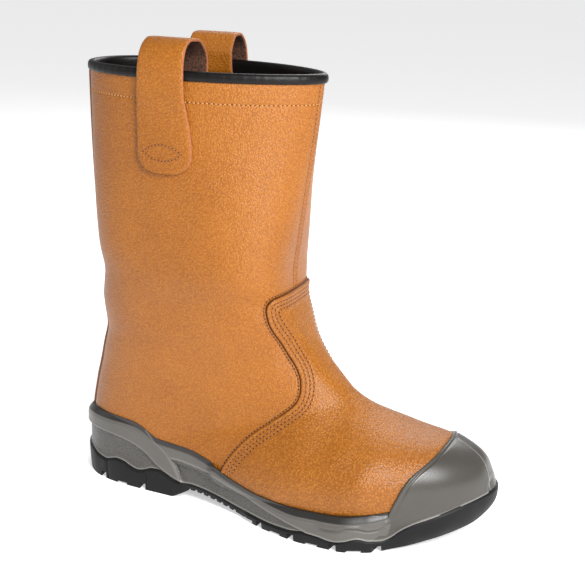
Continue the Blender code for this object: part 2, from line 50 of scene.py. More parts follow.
LAST = np.array((
    (176.0, 298.0, 7.0, 298.0, 46.1, 46.1, 0.50, 1.70, 2.20),
    (172.3, 264.0, 8.0, 264.0, 47.5, 47.5, 0.50, 1.80, 2.20),
    (167.5, 228.9, 9.7, 228.9, 49.1, 49.1, 0.50, 2.15, 2.25),
    (163.2, 194.9, 12.1, 194.9, 50.0, 50.0, 0.50, 2.80, 2.30),
    (160.1, 168.1, 14.8, 168.1, 50.6, 50.6, 0.50, 3.30, 2.30),
    (161.2, 150.0, 17.5, 138.0, 46.5, 46.5, 0.50, 3.30, 2.30),
    (165.2, 135.8, 18.1, 115.0, 44.5, 43.8, 0.48, 3.10, 2.30),
    (172.2, 119.4, 14.1, 90.0, 41.7, 40.4, 0.46, 2.80, 2.30),
    (183.3, 103.5, 9.2, 68.0, 40.1, 38.1, 0.45, 2.60, 2.40),
    (194.3, 93.0, 6.1, 45.0, 39.6, 36.0, 0.45, 2.40, 2.60),
    (203.2, 85.5, 12.0, 24.0, 39.9, 34.8, 0.45, 2.30, 3.00),
    (211.5, 80.0, 60.5, 20.0, 43.8, 34.8, 0.45, 2.30, 3.20),
    (219.5, 75.0, 110.8, 16.1, 50.7, 38.0, 0.42, 2.30, 3.20),
    (229.6, 70.2, 161.2, 11.0, 56.8, 42.8, 0.38, 2.30, 3.20),
    (239.5, 66.8, 201.4, 9.0, 57.6, 43.8, 0.35, 2.40, 3.20),
    (251.7, 64.4, 233.6, 9.5, 50.2, 42.0, 0.35, 2.40, 3.00),
    (265.9, 62.1, 259.7, 13.1, 38.2, 38.4, 0.36, 2.40, 2.80),
    (280.9, 57.6, 278.8, 17.0, 25.3, 31.0, 0.40, 2.40, 2.60),
    (292.9, 51.0, 292.6, 22.5, 11.2, 22.2, 0.45, 2.30, 2.40),
    (299.0, 38.4, 299.0, 31.1, 0.0, 13.7, 0.50, 2.20, 2.20),
))
MIDDLE_X = (0.0, 92.1, 159.6, 208.8, 261.0, 307.0)
MIDDLE_Y = (0.0, -1.1, -3.4, -1.1, 3.4, 5.0)
GIRTH_COLUMNS = 250
LAST_ROWS = 330
SECTION_SAMPLES = 1441


def smooth(places, values, at):
    """Smooth curve through given values, with no overshoot."""
    places = np.asarray(places, float)
    values = np.asarray(values, float)
    steps = np.diff(values) / np.diff(places)
    both = steps[:-1] * steps[1:]
    turns = np.where(both > 0, 2 * both / np.where(both > 0, steps[:-1] + steps[1:], 1), 0)
    slopes = np.concatenate((steps[:1], turns, steps[-1:]))
    at = np.clip(at, places[0], places[-1])
    i = np.clip(np.searchsorted(places, at) - 1, 0, len(places) - 2)
    gap = places[i + 1] - places[i]
    t = (at - places[i]) / gap
    rise = 3 * t ** 2 - 2 * t ** 3
    return ((1 - rise) * values[i] + rise * values[i + 1]
            + (t ** 3 - 2 * t ** 2 + t) * gap * slopes[i] + (t ** 3 - t ** 2) * gap * slopes[i + 1])


def walked(points):
    """Length walked along a line of points, at each of them."""
    return np.concatenate(([0], np.cumsum(np.linalg.norm(np.diff(points, axis=0), axis=1))))


def at_stops(points, run, stops):
    """Points of a line after given lengths of walk."""
    return np.stack([np.interp(stops, run, points[:, k]) for k in range(points.shape[1])], 1)


def last_section(row):
    """Points round one section, evenly spaced: front, outer side, back, inner side, front."""
    front_x, front_z, back_x, back_z, outer, inner, widest, front_blunt, back_blunt = row
    angle = np.linspace(0, 2 * math.pi, SECTION_SAMPLES)
    ahead = np.cos(angle) > 0
    blunt = np.where(ahead, front_blunt, back_blunt)
    reach = np.abs(np.cos(angle)) ** (2 / blunt)
    across = np.abs(np.sin(angle)) ** (2 / blunt)
    end_x = np.where(ahead, front_x, back_x)
    end_z = np.where(ahead, front_z, back_z)
    end_y = smooth(MIDDLE_X, MIDDLE_Y, end_x)
    waist_x = back_x + (front_x - back_x) * widest
    waist_z = back_z + (front_z - back_z) * widest
    side = np.where(np.sin(angle) > 0, -outer, inner)
    points = np.stack((waist_x + (end_x - waist_x) * reach,
                       end_y * (1 - across) + side * across,
                       waist_z + (end_z - waist_z) * reach), 1)
    run = walked(points)
    half = np.interp(math.pi, angle, run)
    stops = np.concatenate((np.linspace(0, half, GIRTH_COLUMNS // 2 + 1),
                            np.linspace(half, run[-1], GIRTH_COLUMNS // 2 + 1)[1:]))
    return at_stops(points, run, stops)


last_places = np.linspace(0, len(LAST) - 1, LAST_ROWS)
last_rows = np.stack([smooth(range(len(LAST)), LAST[:, k], last_places)
                      for k in range(LAST.shape[1])], 1)
last_points = np.stack([last_section(row) for row in last_rows])
down = np.gradient(last_points, axis=0)
wrapped = np.concatenate((last_points[:, -2:-1], last_points, last_points[:, 1:2]), 1)
last_normals = np.cross((wrapped[:, 2:] - wrapped[:, :-2]), down)
last_normals /= np.maximum(np.linalg.norm(last_normals, axis=2, keepdims=True), 1e-9)
outward = last_normals[LAST_ROWS // 4, GIRTH_COLUMNS // 4, 1]
last_normals *= -np.sign(outward)


def on_grid(values, flat):
    """Value of a field at places given as columns and rows, between its grid points too."""
    c = np.clip(flat[:, 0], 0, values.shape[1] - 1.000001)
    r = np.clip(flat[:, 1], 0, values.shape[0] - 1.000001)
    c0 = c.astype(int)
    r0 = r.astype(int)
    fc = c - c0
    fr = r - r0
    if values.ndim == 3:
        fc = fc[:, None]
        fr = fr[:, None]
    return ((values[r0, c0] * (1 - fc) + values[r0, c0 + 1] * fc) * (1 - fr)
            + (values[r0 + 1, c0] * (1 - fc) + values[r0 + 1, c0 + 1] * fc) * fr)


def unit(ways):
    """Directions made 1 long."""
    return ways / np.linalg.norm(ways, axis=1, keepdims=True)


def to_world(points):
    """Places in mm from the heel's back, as metres in the part's frame."""
    return (np.asarray(points, float) - (HEEL_REST, 0, 0)) * MM


def take_points(mesh):
    """All points of a mesh as rows of an array."""
    points = np.zeros(len(mesh.vertices) * 3)
    mesh.vertices.foreach_get("co", points)
    return points.reshape(-1, 3)


def set_points(mesh, points):
    """Put all points of a mesh at given places."""
    mesh.vertices.foreach_set("co", np.asarray(points, float).ravel())
    mesh.update()


def lay_flat(name, columns, rows, first_column=0.0, last_column=GIRTH_COLUMNS,
             first_row=0.0, last_row=LAST_ROWS - 1):
    """Flat piece of leather, on a grid whose x is the girth column and y the last's row."""
    bpy.ops.object.select_all(action="DESELECT")
    bpy.ops.mesh.primitive_grid_add(x_subdivisions=columns, y_subdivisions=rows, size=2)
    sheet = bpy.context.object
    sheet.name = name
    sheet.data.name = name
    flat = take_points(sheet.data)
    flat[:, 0] = first_column + (flat[:, 0] + 1) / 2 * (last_column - first_column)
    flat[:, 1] = first_row + (flat[:, 1] + 1) / 2 * (last_row - first_row)
    set_points(sheet.data, flat)
    return sheet


def mark_off(sheet, field, levels, trim=False):
    """Draw lines on a flat piece where a field has given values, and cut away below them."""
    flat = take_points(sheet.data)
    flat[:, 2] = on_grid(field, flat)
    set_points(sheet.data, flat)
    bpy.ops.object.mode_set(mode="EDIT")
    for level in levels:
        bpy.ops.mesh.select_all(action="SELECT")
        bpy.ops.mesh.bisect(plane_co=(0, 0, level), plane_no=(0, 0, 1), clear_inner=trim,
                            threshold=1e-5)
    bpy.ops.object.mode_set(mode="OBJECT")


def mend(merge_distance, turn_out=True):
    """Join the active piece's doubled points, and turn its faces outwards."""
    bpy.ops.object.mode_set(mode="EDIT")
    bpy.ops.mesh.select_all(action="SELECT")
    if merge_distance:
        bpy.ops.mesh.remove_doubles(threshold=merge_distance)
    if turn_out:
        bpy.ops.mesh.normals_make_consistent(inside=False)
    bpy.ops.object.mode_set(mode="OBJECT")


def draw_over(sheet, lift):
    """Draw a flat piece over the last: each point at its place, lifted along the normal."""
    flat = take_points(sheet.data)
    base = on_grid(last_points, flat)
    normals = unit(on_grid(last_normals, flat))
    height = lift(base, flat)
    set_points(sheet.data, to_world(base + normals * height[:, None]))
    mend(2e-6, turn_out=False)


def bed_height(x):
    """Height of the sole's bed under the foot."""
    return smooth((0, 61, 101, 129, 153, 178, 221, 258, 285, 307),
                  (28, 28, 25.2, 22.4, 19.3, 17.4, 16, 18.5, 22.4, 25.8), x)


def bump_line(distance, width):
    """Soft rounded profile, 1 on the line."""
    return np.exp(-(distance / width) ** 2)


def folds(base):
    """Main soft folds of the worn-in leather, in mm outwards."""
    x, y, z = base[:, 0], base[:, 1], base[:, 2]
    side = -np.sign(y + 1e-9)
    shape = np.zeros(len(base))
    # bend over the ankle, deeper behind and fading forwards
    back = np.clip((95 - x) / 80, 0, 1)
    shape -= 2.0 * bump_line(z - 158 - 0.16 * (x - 20), 11) * back
    shape += 1.1 * bump_line(z - 133 - 0.22 * (x - 20), 10) * back
    shape -= 1.0 * bump_line(z - 112 - 0.10 * (x - 20), 8) * back
    # long slack hollow down the side of the shaft, and the swell in front of it
    flank = np.clip(np.abs(y) / 40, 0, 1) ** 2
    shape -= 1.2 * bump_line(x - 62 + 0.12 * (z - 200), 17) * flank * bump_line(z - 200, 55)
    shape += 0.6 * bump_line(x - 112 + 0.06 * (z - 200), 16) * flank * bump_line(z - 185, 60)
    # hollow above the instep where the leather bends
    front = np.clip((x - 110) / 40, 0, 1)
    shape -= 0.8 * bump_line(z - 148 + 0.35 * (x - 150), 7) * front
    # dip behind the hidden toe cap and the swell over its edge
    shape -= 1.5 * bump_line(x - 207 - 0.18 * side * (y + 5), 13) * bump_line(z - 62, 26)
    shape += 0.5 * bump_line(x - 237 - 0.15 * side * (y + 5), 9) * (z > 24)
    return shape


upper_sheet = lay_flat("upper", 188, 236)
below_bed = last_points[:, :, 2] - bed_height(last_points[:, :, 0]) + 1.5
mark_off(upper_sheet, below_bed, [0.0], trim=True)
COLUMN_WIDTH = 1.72
SEAM_ROWS = (1.0, 3.2)
HEM_ROW = 17.9
columns_away = np.minimum(np.arange(GIRTH_COLUMNS + 1), np.arange(GIRTH_COLUMNS, -1, -1))
front_seam = np.broadcast_to(columns_away * COLUMN_WIDTH, last_points.shape[:2])
mark_off(upper_sheet, front_seam, (2.0, 2.6, 3.2, 3.8, 4.4))
hem_depth = last_points[0, 0, 2] - last_points[:, :, 2]
mark_off(upper_sheet, hem_depth, (17.0, 17.6, 18.2, 18.8))


def upper_lift(base, flat):
    """Folds, and the sunk stitch lines of the front seam and of the hem."""
    shape = folds(base)
    from_front = on_grid(front_seam, flat)
    from_top = last_points[0, 0, 2] - base[:, 2]
    shape -= 0.35 * bump_line(from_front - SEAM_ROWS[1], 0.7)
    shape -= 0.30 * bump_line(from_front - 0.4, 0.8)
    shape += 0.25 * bump_line(from_front - 1.7, 0.8)
    shape -= 0.30 * bump_line(from_top - HEM_ROW, 0.8)
    shape *= np.clip(from_top / 6, 0, 1)
    return shape


draw_over(upper_sheet, upper_lift)


def shell_wall(piece, thickness, inner_material):
    """Give a sheet its real thickness inwards, with another material on its inner side."""
    wall = piece.modifiers.new("wall", "SOLIDIFY")
    wall.thickness = thickness
    wall.offset = -1
    wall.material_offset = inner_material
    wall.material_offset_rim = inner_material
    bpy.context.view_layer.objects.active = piece
    bpy.ops.object.modifier_apply(modifier="wall")


def srgb(code):
    """A hex colour as linear values."""
    parts = [int(code[i:i + 2], 16) / 255 for i in (1, 3, 5)]
    return (*[p / 12.92 if p <= 0.04045 else ((p + 0.055) / 1.055) ** 2.4 for p in parts], 1.0)


def feed(material, spot, value):
    """Give a node's input a value, or link it to another node's output."""
    if isinstance(value, bpy.types.NodeSocket):
        material.node_tree.links.new(value, spot)
    else:
        spot.default_value = value


def node(material, kind, settings=None, **inputs):
    """Add a node, with its settings and its inputs by name, or by number after an n."""
    made = material.node_tree.nodes.new(kind)
    for key, value in (settings or {}).items():
        setattr(made, key, value)
    for key, value in inputs.items():
        numbered = key[0] == "n" and key[1:].isdigit()
        feed(material, made.inputs[int(key[1:]) if numbered else key.replace("_", " ")], value)
    return made


def new_material(name):
    """An empty material, its shader, and the place on the piece for its textures."""
    material = bpy.data.materials.new(name)
    material.use_nodes = True
    shader = material.node_tree.nodes["Principled BSDF"]
    return material, shader, node(material, "ShaderNodeTexCoord").outputs["Object"]


def set_shader(material, shader, **inputs):
    """Give the shader its inputs by name."""
    for key, value in inputs.items():
        feed(material, shader.inputs[key.replace("_", " ")], value)


def noise(material, place, scale, detail=2.0, roughness=0.5):
    """Soft noise over a piece."""
    return node(material, "ShaderNodeTexNoise", Vector=place, Scale=scale, Detail=detail,
                Roughness=roughness).outputs["Fac"]


def blend(material, share, first, second):
    """Colour between two colours, given as hex codes or as outputs."""
    first, second = (srgb(c) if isinstance(c, str) else c for c in (first, second))
    return node(material, "ShaderNodeMix", {"data_type": "RGBA"}, n0=share, n6=first,
                n7=second).outputs[2]


def spread(material, value, low, high, to_low=0.0, to_high=1.0):
    """A value's range taken to another range."""
    return node(material, "ShaderNodeMapRange", Value=value, n1=low, n2=high, n3=to_low,
                n4=to_high).outputs[0]


def relief(material, height, strength, reach, invert=False):
    """Fine relief of the surface."""
    return node(material, "ShaderNodeBump", {"invert": invert}, Strength=strength,
                Distance=reach, Height=height).outputs[0]


def reckon(material, operation, *values, clamp=False):
    """One step of arithmetic on values or outputs."""
    inputs = {f"n{k}": value for k, value in enumerate(values)}
    return node(material, "ShaderNodeMath", {"operation": operation, "use_clamp": clamp},
                **inputs).outputs[0]


def grain_leather(name, colour, dark, pebble_mm, depth, shine=0.42):
    """Corrected-grain leather, printed with a fine pebble and sprayed with a half-matt finish.
    Its colour has painted highlights on the pebble tops and painted shade in the valleys."""
    material, shader, place = new_material(name)
    warp = node(material, "ShaderNodeTexNoise", Vector=place, Scale=260.0, Detail=3.0)
    bent = node(material, "ShaderNodeVectorMath", {"operation": "MULTIPLY_ADD"},
                n0=warp.outputs["Color"], n1=(0.0011, 0.0011, 0.0011), n2=place)
    pebbles = node(material, "ShaderNodeTexVoronoi", Vector=bent.outputs[0],
                   Scale=1000 / pebble_mm).outputs["Distance"]
    fine = noise(material, place, 2200.0, 4.0)
    shade = spread(material, noise(material, place, 14.0, 4.0), 0.35, 0.68, 0.0, 0.3)
    # Darker valleys between the pebbles: painted shade.
    valley_painted_shade = spread(material, pebbles, 0.30, 0.75, 0.0, 0.4)
    tone_with_painted_valley_shade = blend(material, reckon(material, "ADD", shade, valley_painted_shade, clamp=True), colour, dark)
    # Lighter pebble tops: painted highlights.
    with_painted_pebble_highlights = blend(material, spread(material, pebbles, 0.08, 0.34, 0.5, 0.0), tone_with_painted_valley_shade, "#C68438")
    height = reckon(material, "MULTIPLY_ADD", fine, -0.35, pebbles)
    set_shader(material, shader, Base_Color=with_painted_pebble_highlights, IOR=1.48, Specular_IOR_Level=shine,
               Roughness=spread(material, fine, 0.3, 0.7, 0.34, 0.46),
               Normal=relief(material, height, depth, 0.0005, invert=True))
    return material


tan_grain = grain_leather("tan corrected-grain leather", "#A46216", "#79410A", 1.2, 0.75)


def lining_fabric():
    """Black non-woven lining, needled felt that has been pressed: matt, with short fibres."""
    material, shader, place = new_material("black non-woven lining")
    fibres = noise(material, place, 900.0, 6.0, 0.7)
    set_shader(material, shader, Base_Color=blend(material, fibres, "#0C0908", "#221B18"),
               Roughness=0.9, Normal=relief(material, fibres, 0.6, 0.0004))
    return material


def paint(piece, *materials):
    """Give a piece its materials, in order."""
    for material in materials:
        piece.data.materials.append(material)


black_lining = lining_fabric()
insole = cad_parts["insole"]
insole.data.materials.clear()
paint(insole, black_lining)
paint(upper_sheet, tan_grain, black_lining)
UPPER_LEATHER = 2.2
shell_wall(upper_sheet, UPPER_LEATHER * MM, 1)
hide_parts("upper")


def make_active(piece):
    """Select one piece alone, for Blender's operators."""
    bpy.ops.object.select_all(action="DESELECT")
    piece.select_set(True)
    bpy.context.view_layer.objects.active = piece


def finish_piece(piece, sharp=50):
    """Smooth shading with crisp real edges, and the piece rides on the boot."""
    make_active(piece)
    bpy.ops.object.shade_smooth_by_angle(angle=math.radians(sharp))
    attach(piece, "root")


finish_piece(upper_sheet)

# Vamp: a second layer of the same leather over the instep and forefoot, 2.3 mm high. Its
# cut edge is folded and rounded, and three rows of stitches hold it on the upper.
VAMP_LEFT = (
    (185.0, 156.3), (166.0, 156.3), (158.0, 155.3), (154.2, 153.0), (152.6, 149.5),
    (152.4, 145.0), (153.4, 139.0), (155.8, 132.5), (160.6, 124.0), (165.2, 115.0),
    (170.3, 107.5), (173.8, 100.5), (175.2, 95.0), (175.4, 88.5), (173.8, 83.6),
    (170.2, 79.0), (163.0, 72.9), (155.8, 66.3), (147.4, 60.2), (140.2, 52.0),
    (134.2, 44.0), (129.6, 36.0), (124.0, 22.0), (120.0, 5.0), (340.0, 5.0), (340.0, 156.3),
)


def edge_field(outline):
    """Distance of each point of the last from an outline seen from the side, plus inside."""
    outline = np.asarray(outline, float)
    spots = last_points[:, :, (0, 2)].reshape(-1, 2)
    nearest = np.full(len(spots), 1e9)
    inside = np.zeros(len(spots), bool)
    for a, b in zip(outline, np.roll(outline, -1, axis=0)):
        run = b - a
        share = np.clip(((spots - a) @ run) / (run @ run), 0, 1)
        gap = np.linalg.norm(spots - a - share[:, None] * run, axis=1)
        nearest = np.minimum(nearest, gap)
        crosses = (a[1] > spots[:, 1]) != (b[1] > spots[:, 1])
        rise = np.where(run[1] == 0, 1e-9, run[1])
        inside ^= crosses & (spots[:, 0] < a[0] + (spots[:, 1] - a[1]) / rise * run[0])
    return np.where(inside, nearest, -nearest).reshape(last_points.shape[:2])


def rounded(outline, passes=2):
    """The outline with its corners cut off, so that it reads as one drawn line."""
    line = np.asarray(outline, float)
    for _ in range(passes):
        after = np.roll(line, -1, axis=0)
        line = np.stack((line * 0.75 + after * 0.25, line * 0.25 + after * 0.75), 1).reshape(-1, 2)
    return line


FOOT_ROWS = (60, LAST_ROWS - 1)
LINE_GRID = 200


def line_on_last(field, level, columns=(0, GIRTH_COLUMNS), rows=(0, LAST_ROWS - 1)):
    """Lines on the last where a field has a value, as girth columns and rows."""
    sheet = bmesh.new()
    bmesh.ops.create_grid(sheet, x_segments=LINE_GRID, y_segments=LINE_GRID, size=1)
    for vert in sheet.verts:
        column = columns[0] + (vert.co.x + 1) / 2 * (columns[1] - columns[0])
        row = rows[0] + (vert.co.y + 1) / 2 * (rows[1] - rows[0])
        vert.co = (column, row, 0)
    spots = np.array([vert.co for vert in sheet.verts])
    heights = on_grid(field, spots)
    for vert, height in zip(sheet.verts, heights):
        vert.co.z = height
    cut = bmesh.ops.bisect_plane(sheet, geom=sheet.verts[:] + sheet.edges[:] + sheet.faces[:],
                                 dist=1e-6, plane_co=(0, 0, level), plane_no=(0, 0, 1))
    edges = [part for part in cut["geom_cut"] if isinstance(part, bmesh.types.BMEdge)]
    beside = {}
    for edge in edges:
        a, b = edge.verts
        beside.setdefault(a, []).append(b)
        beside.setdefault(b, []).append(a)
    lines = []
    left = set(beside)
    for first in sorted(beside, key=lambda vert: (len(beside[vert]), vert.co.y, vert.co.x)):
        if first not in left:
            continue
        line = [first]
        left.discard(first)
        while True:
            onward = [vert for vert in beside[line[-1]] if vert in left]
            if not onward:
                break
            line.append(onward[0])
            left.discard(onward[0])
        lines.append([(vert.co.x, vert.co.y) for vert in line])
    sheet.free()
    longest = max(len(line) for line in lines)
    return [np.array(line) for line in lines if len(line) > longest * 0.3]


def point_tree(points):
    """Search tree of points, to find the nearest one."""
    tree = KDTree(len(points))
    for number, point in enumerate(points):
        tree.insert(point, number)
    tree.balance()
    return tree


def real_distance(field):
    """Distance in space, in mm, of each point of the last from the lines where a field is 0."""
    spots = []
    for line in line_on_last(field, 0.0, rows=FOOT_ROWS):
        points = on_grid(last_points, line)
        run = walked(points)
        spots.append(at_stops(points, run, np.arange(0, run[-1], 0.3)))
    tree = point_tree(np.concatenate(spots))
    away = [tree.find(point)[2] for point in last_points.reshape(-1, 3)]
    return np.reshape(away, field.shape)


vamp_inside = edge_field(rounded(VAMP_LEFT))
from_outline = np.clip((vamp_inside - 1.0) / 1.5, 0, 1)
vamp_inside = vamp_inside * (1 - from_outline) + real_distance(vamp_inside) * from_outline
above_sole = last_points[:, :, 2] - bed_height(last_points[:, :, 0]) - 1.0
vamp_field = np.minimum(vamp_inside, above_sole)
VAMP_LEATHER = 2.3
VAMP_TOP = 156.0
TROUGH_DEPTH, TROUGH_WIDTH = 0.42, 0.75
UNDER_CAP_SINK = 0.9
VAMP_ROWS = (3.6, 6.3, 9.0)
EDGE_ROLL = 1.5


def rolled_edge(inside, thickness, roll):
    """Height of a leather's top face near its rounded edge."""
    share = np.clip(inside / roll, 0, 1)
    return thickness * np.sqrt(np.clip(1 - (1 - share) ** 2, 0, 1))


def step(value, width):
    """Rounded step from 0 to 1 over a width."""
    t = np.clip(value / width + 0.5, 0, 1)
    return t * t * (3 - 2 * t)


def vamp_lift(base, flat):
    """Folds, the rolled edge, the sunk rows of stitches, and room for the toe cap."""
    inside = on_grid(vamp_field, flat)
    shape = folds(base) + rolled_edge(inside, VAMP_LEATHER, EDGE_ROLL)
    along = on_grid(vamp_inside, flat)
    for row in VAMP_ROWS:
        shape -= TROUGH_DEPTH * bump_line(along - row, TROUGH_WIDTH)
    shape += 0.25 * bump_line(along - 2.0, 1.2)
    shape -= 0.25 * bump_line(along - 11.5, 2.5)
    cap_edge = np.interp(base[:, 2], (20, 42, 52, 65, 90), (250, 257, 263, 276, 294))
    shape -= UNDER_CAP_SINK * step(base[:, 0] - cap_edge, 2)
    return shape


def overlay(name, field, levels, lift, columns, rows, edge_shade_width=0.6, **span):
    """Piece of leather over the last, trimmed to a field, with a band along its edge in a second
    material, for painted shade.
    """
    piece = lay_flat(name, columns, rows, **span)
    mark_off(piece, field, [0.0], trim=True)
    mark_off(piece, field, levels)
    middles = np.array([face.center for face in piece.data.polygons])
    # Faces of the band along the edge take the second material, which on the vamp is painted shade.
    edge_shade_band = on_grid(field, middles) < edge_shade_width
    piece.data.polygons.foreach_set("material_index", edge_shade_band.astype(int))
    draw_over(piece, lift)
    return piece


VAMP_LEVELS = (0.1, 0.3, 0.6, 1.0, 1.5, 2.2, 3.0, 3.6, 4.2, 5.7, 6.3, 6.9, 8.4, 9.0, 9.6, 11.0)
vamp = overlay("vamp", vamp_field, VAMP_LEVELS, vamp_lift, 170, 190, first_row=FOOT_ROWS[0])
# The second material paints the band along the vamp's rolled edge dark brown: painted shade of the
# edge.
paint(vamp, grain_leather("tan vamp leather", "#A06016", "#74400A", 1.4, 0.65),
      grain_leather("painted shade on vamp edge leather", "#5E3216", "#3E1E0C", 1.5, 0.3, shine=0.1))
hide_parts("vamp")
finish_piece(vamp, 60)

# Grey layer of the sole: expanded polyurethane moulded onto the leather, with two smooth
# bands that sweep forward over a grained wall, a rim painted dark as shade, and the toe cap in one
# with it.
# The outline in plan comes first. The lines after it are seen from the side: places along
# the sole, then heights, save that BAND_END has heights first, then places.
SOLE_LENGTH = 307.0
OUTLINE_X = np.array((0, 3.1, 9.2, 20.3, 38.4, 61.4, 89.0, 113.6, 141.2, 168.9, 193.4, 218.0,
                      236.4, 251.7, 267.1, 282.4, 294.7, 302.4, 307.0))
OUTER_Y = np.array((0, -15.0, -23.7, -32.0, -37.4, -39.6, -41.0, -43.7, -50.2, -59.3, -64.6,
                    -65.0, -58.7, -49.0, -42.2, -31.7, -18.8, -7.1, 8.55))
INNER_Y = np.array((0, 14.4, 22.8, 30.6, 35.6, 36.7, 35.3, 32.6, 33.1, 38.8, 45.6, 49.0, 48.7,
                    46.7, 45.0, 39.9, 32.7, 23.7, 8.55))
TOP_EDGE = ((0, 20, 43, 53.5, 61, 66, 70, 74, 84.4, 101.3, 110, 122.8, 142.8, 159.6, 184.2, 214.9,
             239.5, 254.8, 273.2, 291.7, 307),
            (47.8, 51.5, 51.6, 51.0, 48.8, 46.2, 43.8, 42.3, 41.6, 40.4, 38.6, 34.9, 28.1, 24.1,
             22.0, 23.3, 25.9, 29.6, 35.4, 41.1, 44.7))
COLOUR_LINE = ((0, 8, 13, 21.4, 28, 33, 38.6, 44.4, 51, 57, 62.2, 68.3, 74.4, 80.4, 86.5, 92.6,
                101.6, 108.8, 122.8, 140.8, 158.6, 170, 183, 195.8, 205, 214.8, 223.6, 231.3,
                239.4, 245.5, 249.5, 256.6, 264, 273.7, 283.2, 292, 300.2, 307),
               (22.0, 20.6, 19.4, 17.0, 16.2, 17.6, 19.2, 18.6, 16.1, 14.6, 15.8, 18.2, 18.6,
                16.6, 13.8, 12.8, 13.5, 12.9, 11.1, 8.4, 7.0, 6.6, 7.2, 9.0, 8.3, 6.9, 8.2, 10.2,
                8.7, 8.7, 10.1, 15.6, 19.9, 23.4, 26.9, 30.2, 32.6, 34.4))
BAND_ONE = ((0, 9, 18, 30, 44, 53.5, 62.8, 68.9, 73, 79, 86, 93),
            (36.8, 37.4, 38.0, 37.6, 36.3, 33.9, 29.8, 25.3, 22.0, 18.6, 15.4, 13.0))
BAND_END = ((13, 16, 23.2, 29.3, 35.1, 39.4, 43.7, 46),
            (94.5, 92.5, 89.0, 85.0, 79.8, 72.9, 68.7, 66.5))
BAND_TWO = ((80, 93, 102, 110, 117, 130, 144, 158, 170, 181, 191, 200, 220),
            (28.6, 29.6, 28.9, 28.1, 27.2, 24.6, 19.6, 16.0, 13.6, 11.7, 10.0, 8.0, 4.0))
FOREFOOT_CREASE = ((200, 208, 217, 225, 231, 238, 244, 248),
                   (13.6, 14.6, 15.4, 17.6, 17.4, 16.2, 17.0, 20.5))
FOREFOOT_START = 203
TOE_START = 249
BAND_ONE_PROUD = 1.7
BAND_TWO_PROUD = 1.1
RIM_HEIGHT = 4.2
RIM_DEPTH = 3.0
WALL_INSET = 1.9
BEAD_HEIGHT = 0.35
SEAM_DEPTH = 0.8
STATIONS = 760
WALL_ROWS = 56


def sole_stations():
    """Points of the sole's outline in plan, evenly spaced, and the direction inwards."""
    turn = np.arccos(1 - 2 * OUTLINE_X / SOLE_LENGTH)
    fine = np.linspace(0, math.pi, 3000)
    x = SOLE_LENGTH * (1 - np.cos(fine)) / 2
    outer = np.stack((x, smooth(turn, OUTER_Y, fine)), 1)
    inner = np.stack((x, smooth(turn, INNER_Y, fine)), 1)
    loop = np.concatenate((outer, inner[-2::-1]))
    run = walked(loop)
    plan = at_stops(loop, run, np.linspace(0, run[-1], STATIONS + 1)[:-1])
    along = unit(np.roll(plan, -3, axis=0) - np.roll(plan, 3, axis=0))
    return plan, np.stack((-along[:, 1], along[:, 0]), 1)


plan, inward = sole_stations()


def wall_inset(x, z, top, line):
    """How far the grey wall lies inside the sole's outline, where it is grained, and how pale it is
    painted as highlight on the beads.
    """
    over_one = z - smooth(*BAND_ONE, x)
    over_two = z - smooth(*BAND_TWO, x)
    past_end = x - smooth(*BAND_END, z)
    before_end = step(-past_end, 1.2)
    on_one = step(over_one, 1.0) * before_end
    below_end = step(smooth(*BAND_END, np.clip(z, 13, 46)) - x, 1.2)
    on_two = step(over_two, 1.0) * (1 - below_end) * step(x - 60, 4)
    forefoot = step(x - FOREFOOT_START, 16)
    smooth_part = np.maximum(on_two, forefoot)
    beads = bump_line(over_one - 0.9, 0.7) * before_end
    beads += bump_line(over_two - 0.9, 0.7) * (1 - below_end) * (x > 78) * (1 - forefoot)
    end_line = bump_line(past_end + 1.2, 0.9) * (z > line + 1) * (x < 100)
    seam = bump_line(past_end - 0.6, 0.7) * (x < 92) * (z > line + 1)
    proud = BAND_ONE_PROUD * on_one + BAND_TWO_PROUD * smooth_part
    proud += BEAD_HEIGHT * beads + 0.3 * end_line
    proud -= SEAM_DEPTH * seam * (top - z > 1.5)
    crease = z - smooth(*FOREFOOT_CREASE, x)
    near_crease = step(x - 206, 10) * step(250 - x, 6)
    proud += near_crease * (0.9 * step(crease, 1.6) - 0.7 * bump_line(crease + 1.2, 1.1)
                            + 0.5 * bump_line(crease - 1.2, 1.0))
    crown = 0.35 * bump_line(z - (top + smooth(*BAND_ONE, x)) / 2, 6) * on_one
    flash = 0.5 * bump_line(z - line, 0.8)
    from_top = top - z
    rim = np.clip(1 - from_top / RIM_HEIGHT, 0, 1)
    rim_groove = 0.35 * bump_line(from_top - RIM_HEIGHT - 0.2, 0.6)
    toe = 3.2 * np.clip((x - TOE_START) / 5, 0, 1) + 6 * np.clip((x - 285) / 10, 0, 1)
    inset = WALL_INSET - proud - crown - flash + rim_groove + RIM_DEPTH * rim ** 1.4 + toe
    grained = (1 - on_one) * (1 - smooth_part) * np.clip(1 - rim * 3, 0, 1)
    # Pale paint on the raised beads and the band's end line: painted highlights.
    pale = np.clip(0.45 * beads + 0.35 * end_line, 0, 1)
    return inset, grained, pale


def ring_tube(name, rings):
    """Closed tube through rings of equal count, the last joined back to the first."""
    rings = np.asarray(rings)
    tube = lay_flat(name, rings.shape[1], len(rings))
    wide = np.concatenate((rings, rings[:1]))
    wide = np.concatenate((wide, wide[:, :1]), 1)
    set_points(tube.data, to_world(wide.reshape(-1, 3)))
    mend(1e-7)
    return tube


def last_tree(lift):
    """The last's surface, grown by a lift, for finding where a line meets it."""
    points = (last_points + last_normals * lift)[::2, ::2]
    rows, columns = points.shape[:2]
    index = np.arange(rows * columns).reshape(rows, columns)
    quads = np.stack((index[:-1, :-1], index[:-1, 1:], index[1:, 1:], index[1:, :-1]), -1)
    return BVHTree.FromPolygons([Vector(p) for p in points.reshape(-1, 3)],
                                [tuple(q) for q in quads.reshape(-1, 4).tolist()])


leather_face = last_tree(np.where(vamp_inside > -3, VAMP_LEATHER, 0.0)[..., None])
LEATHER_REACH = 9.0
BEHIND_FACE = 6


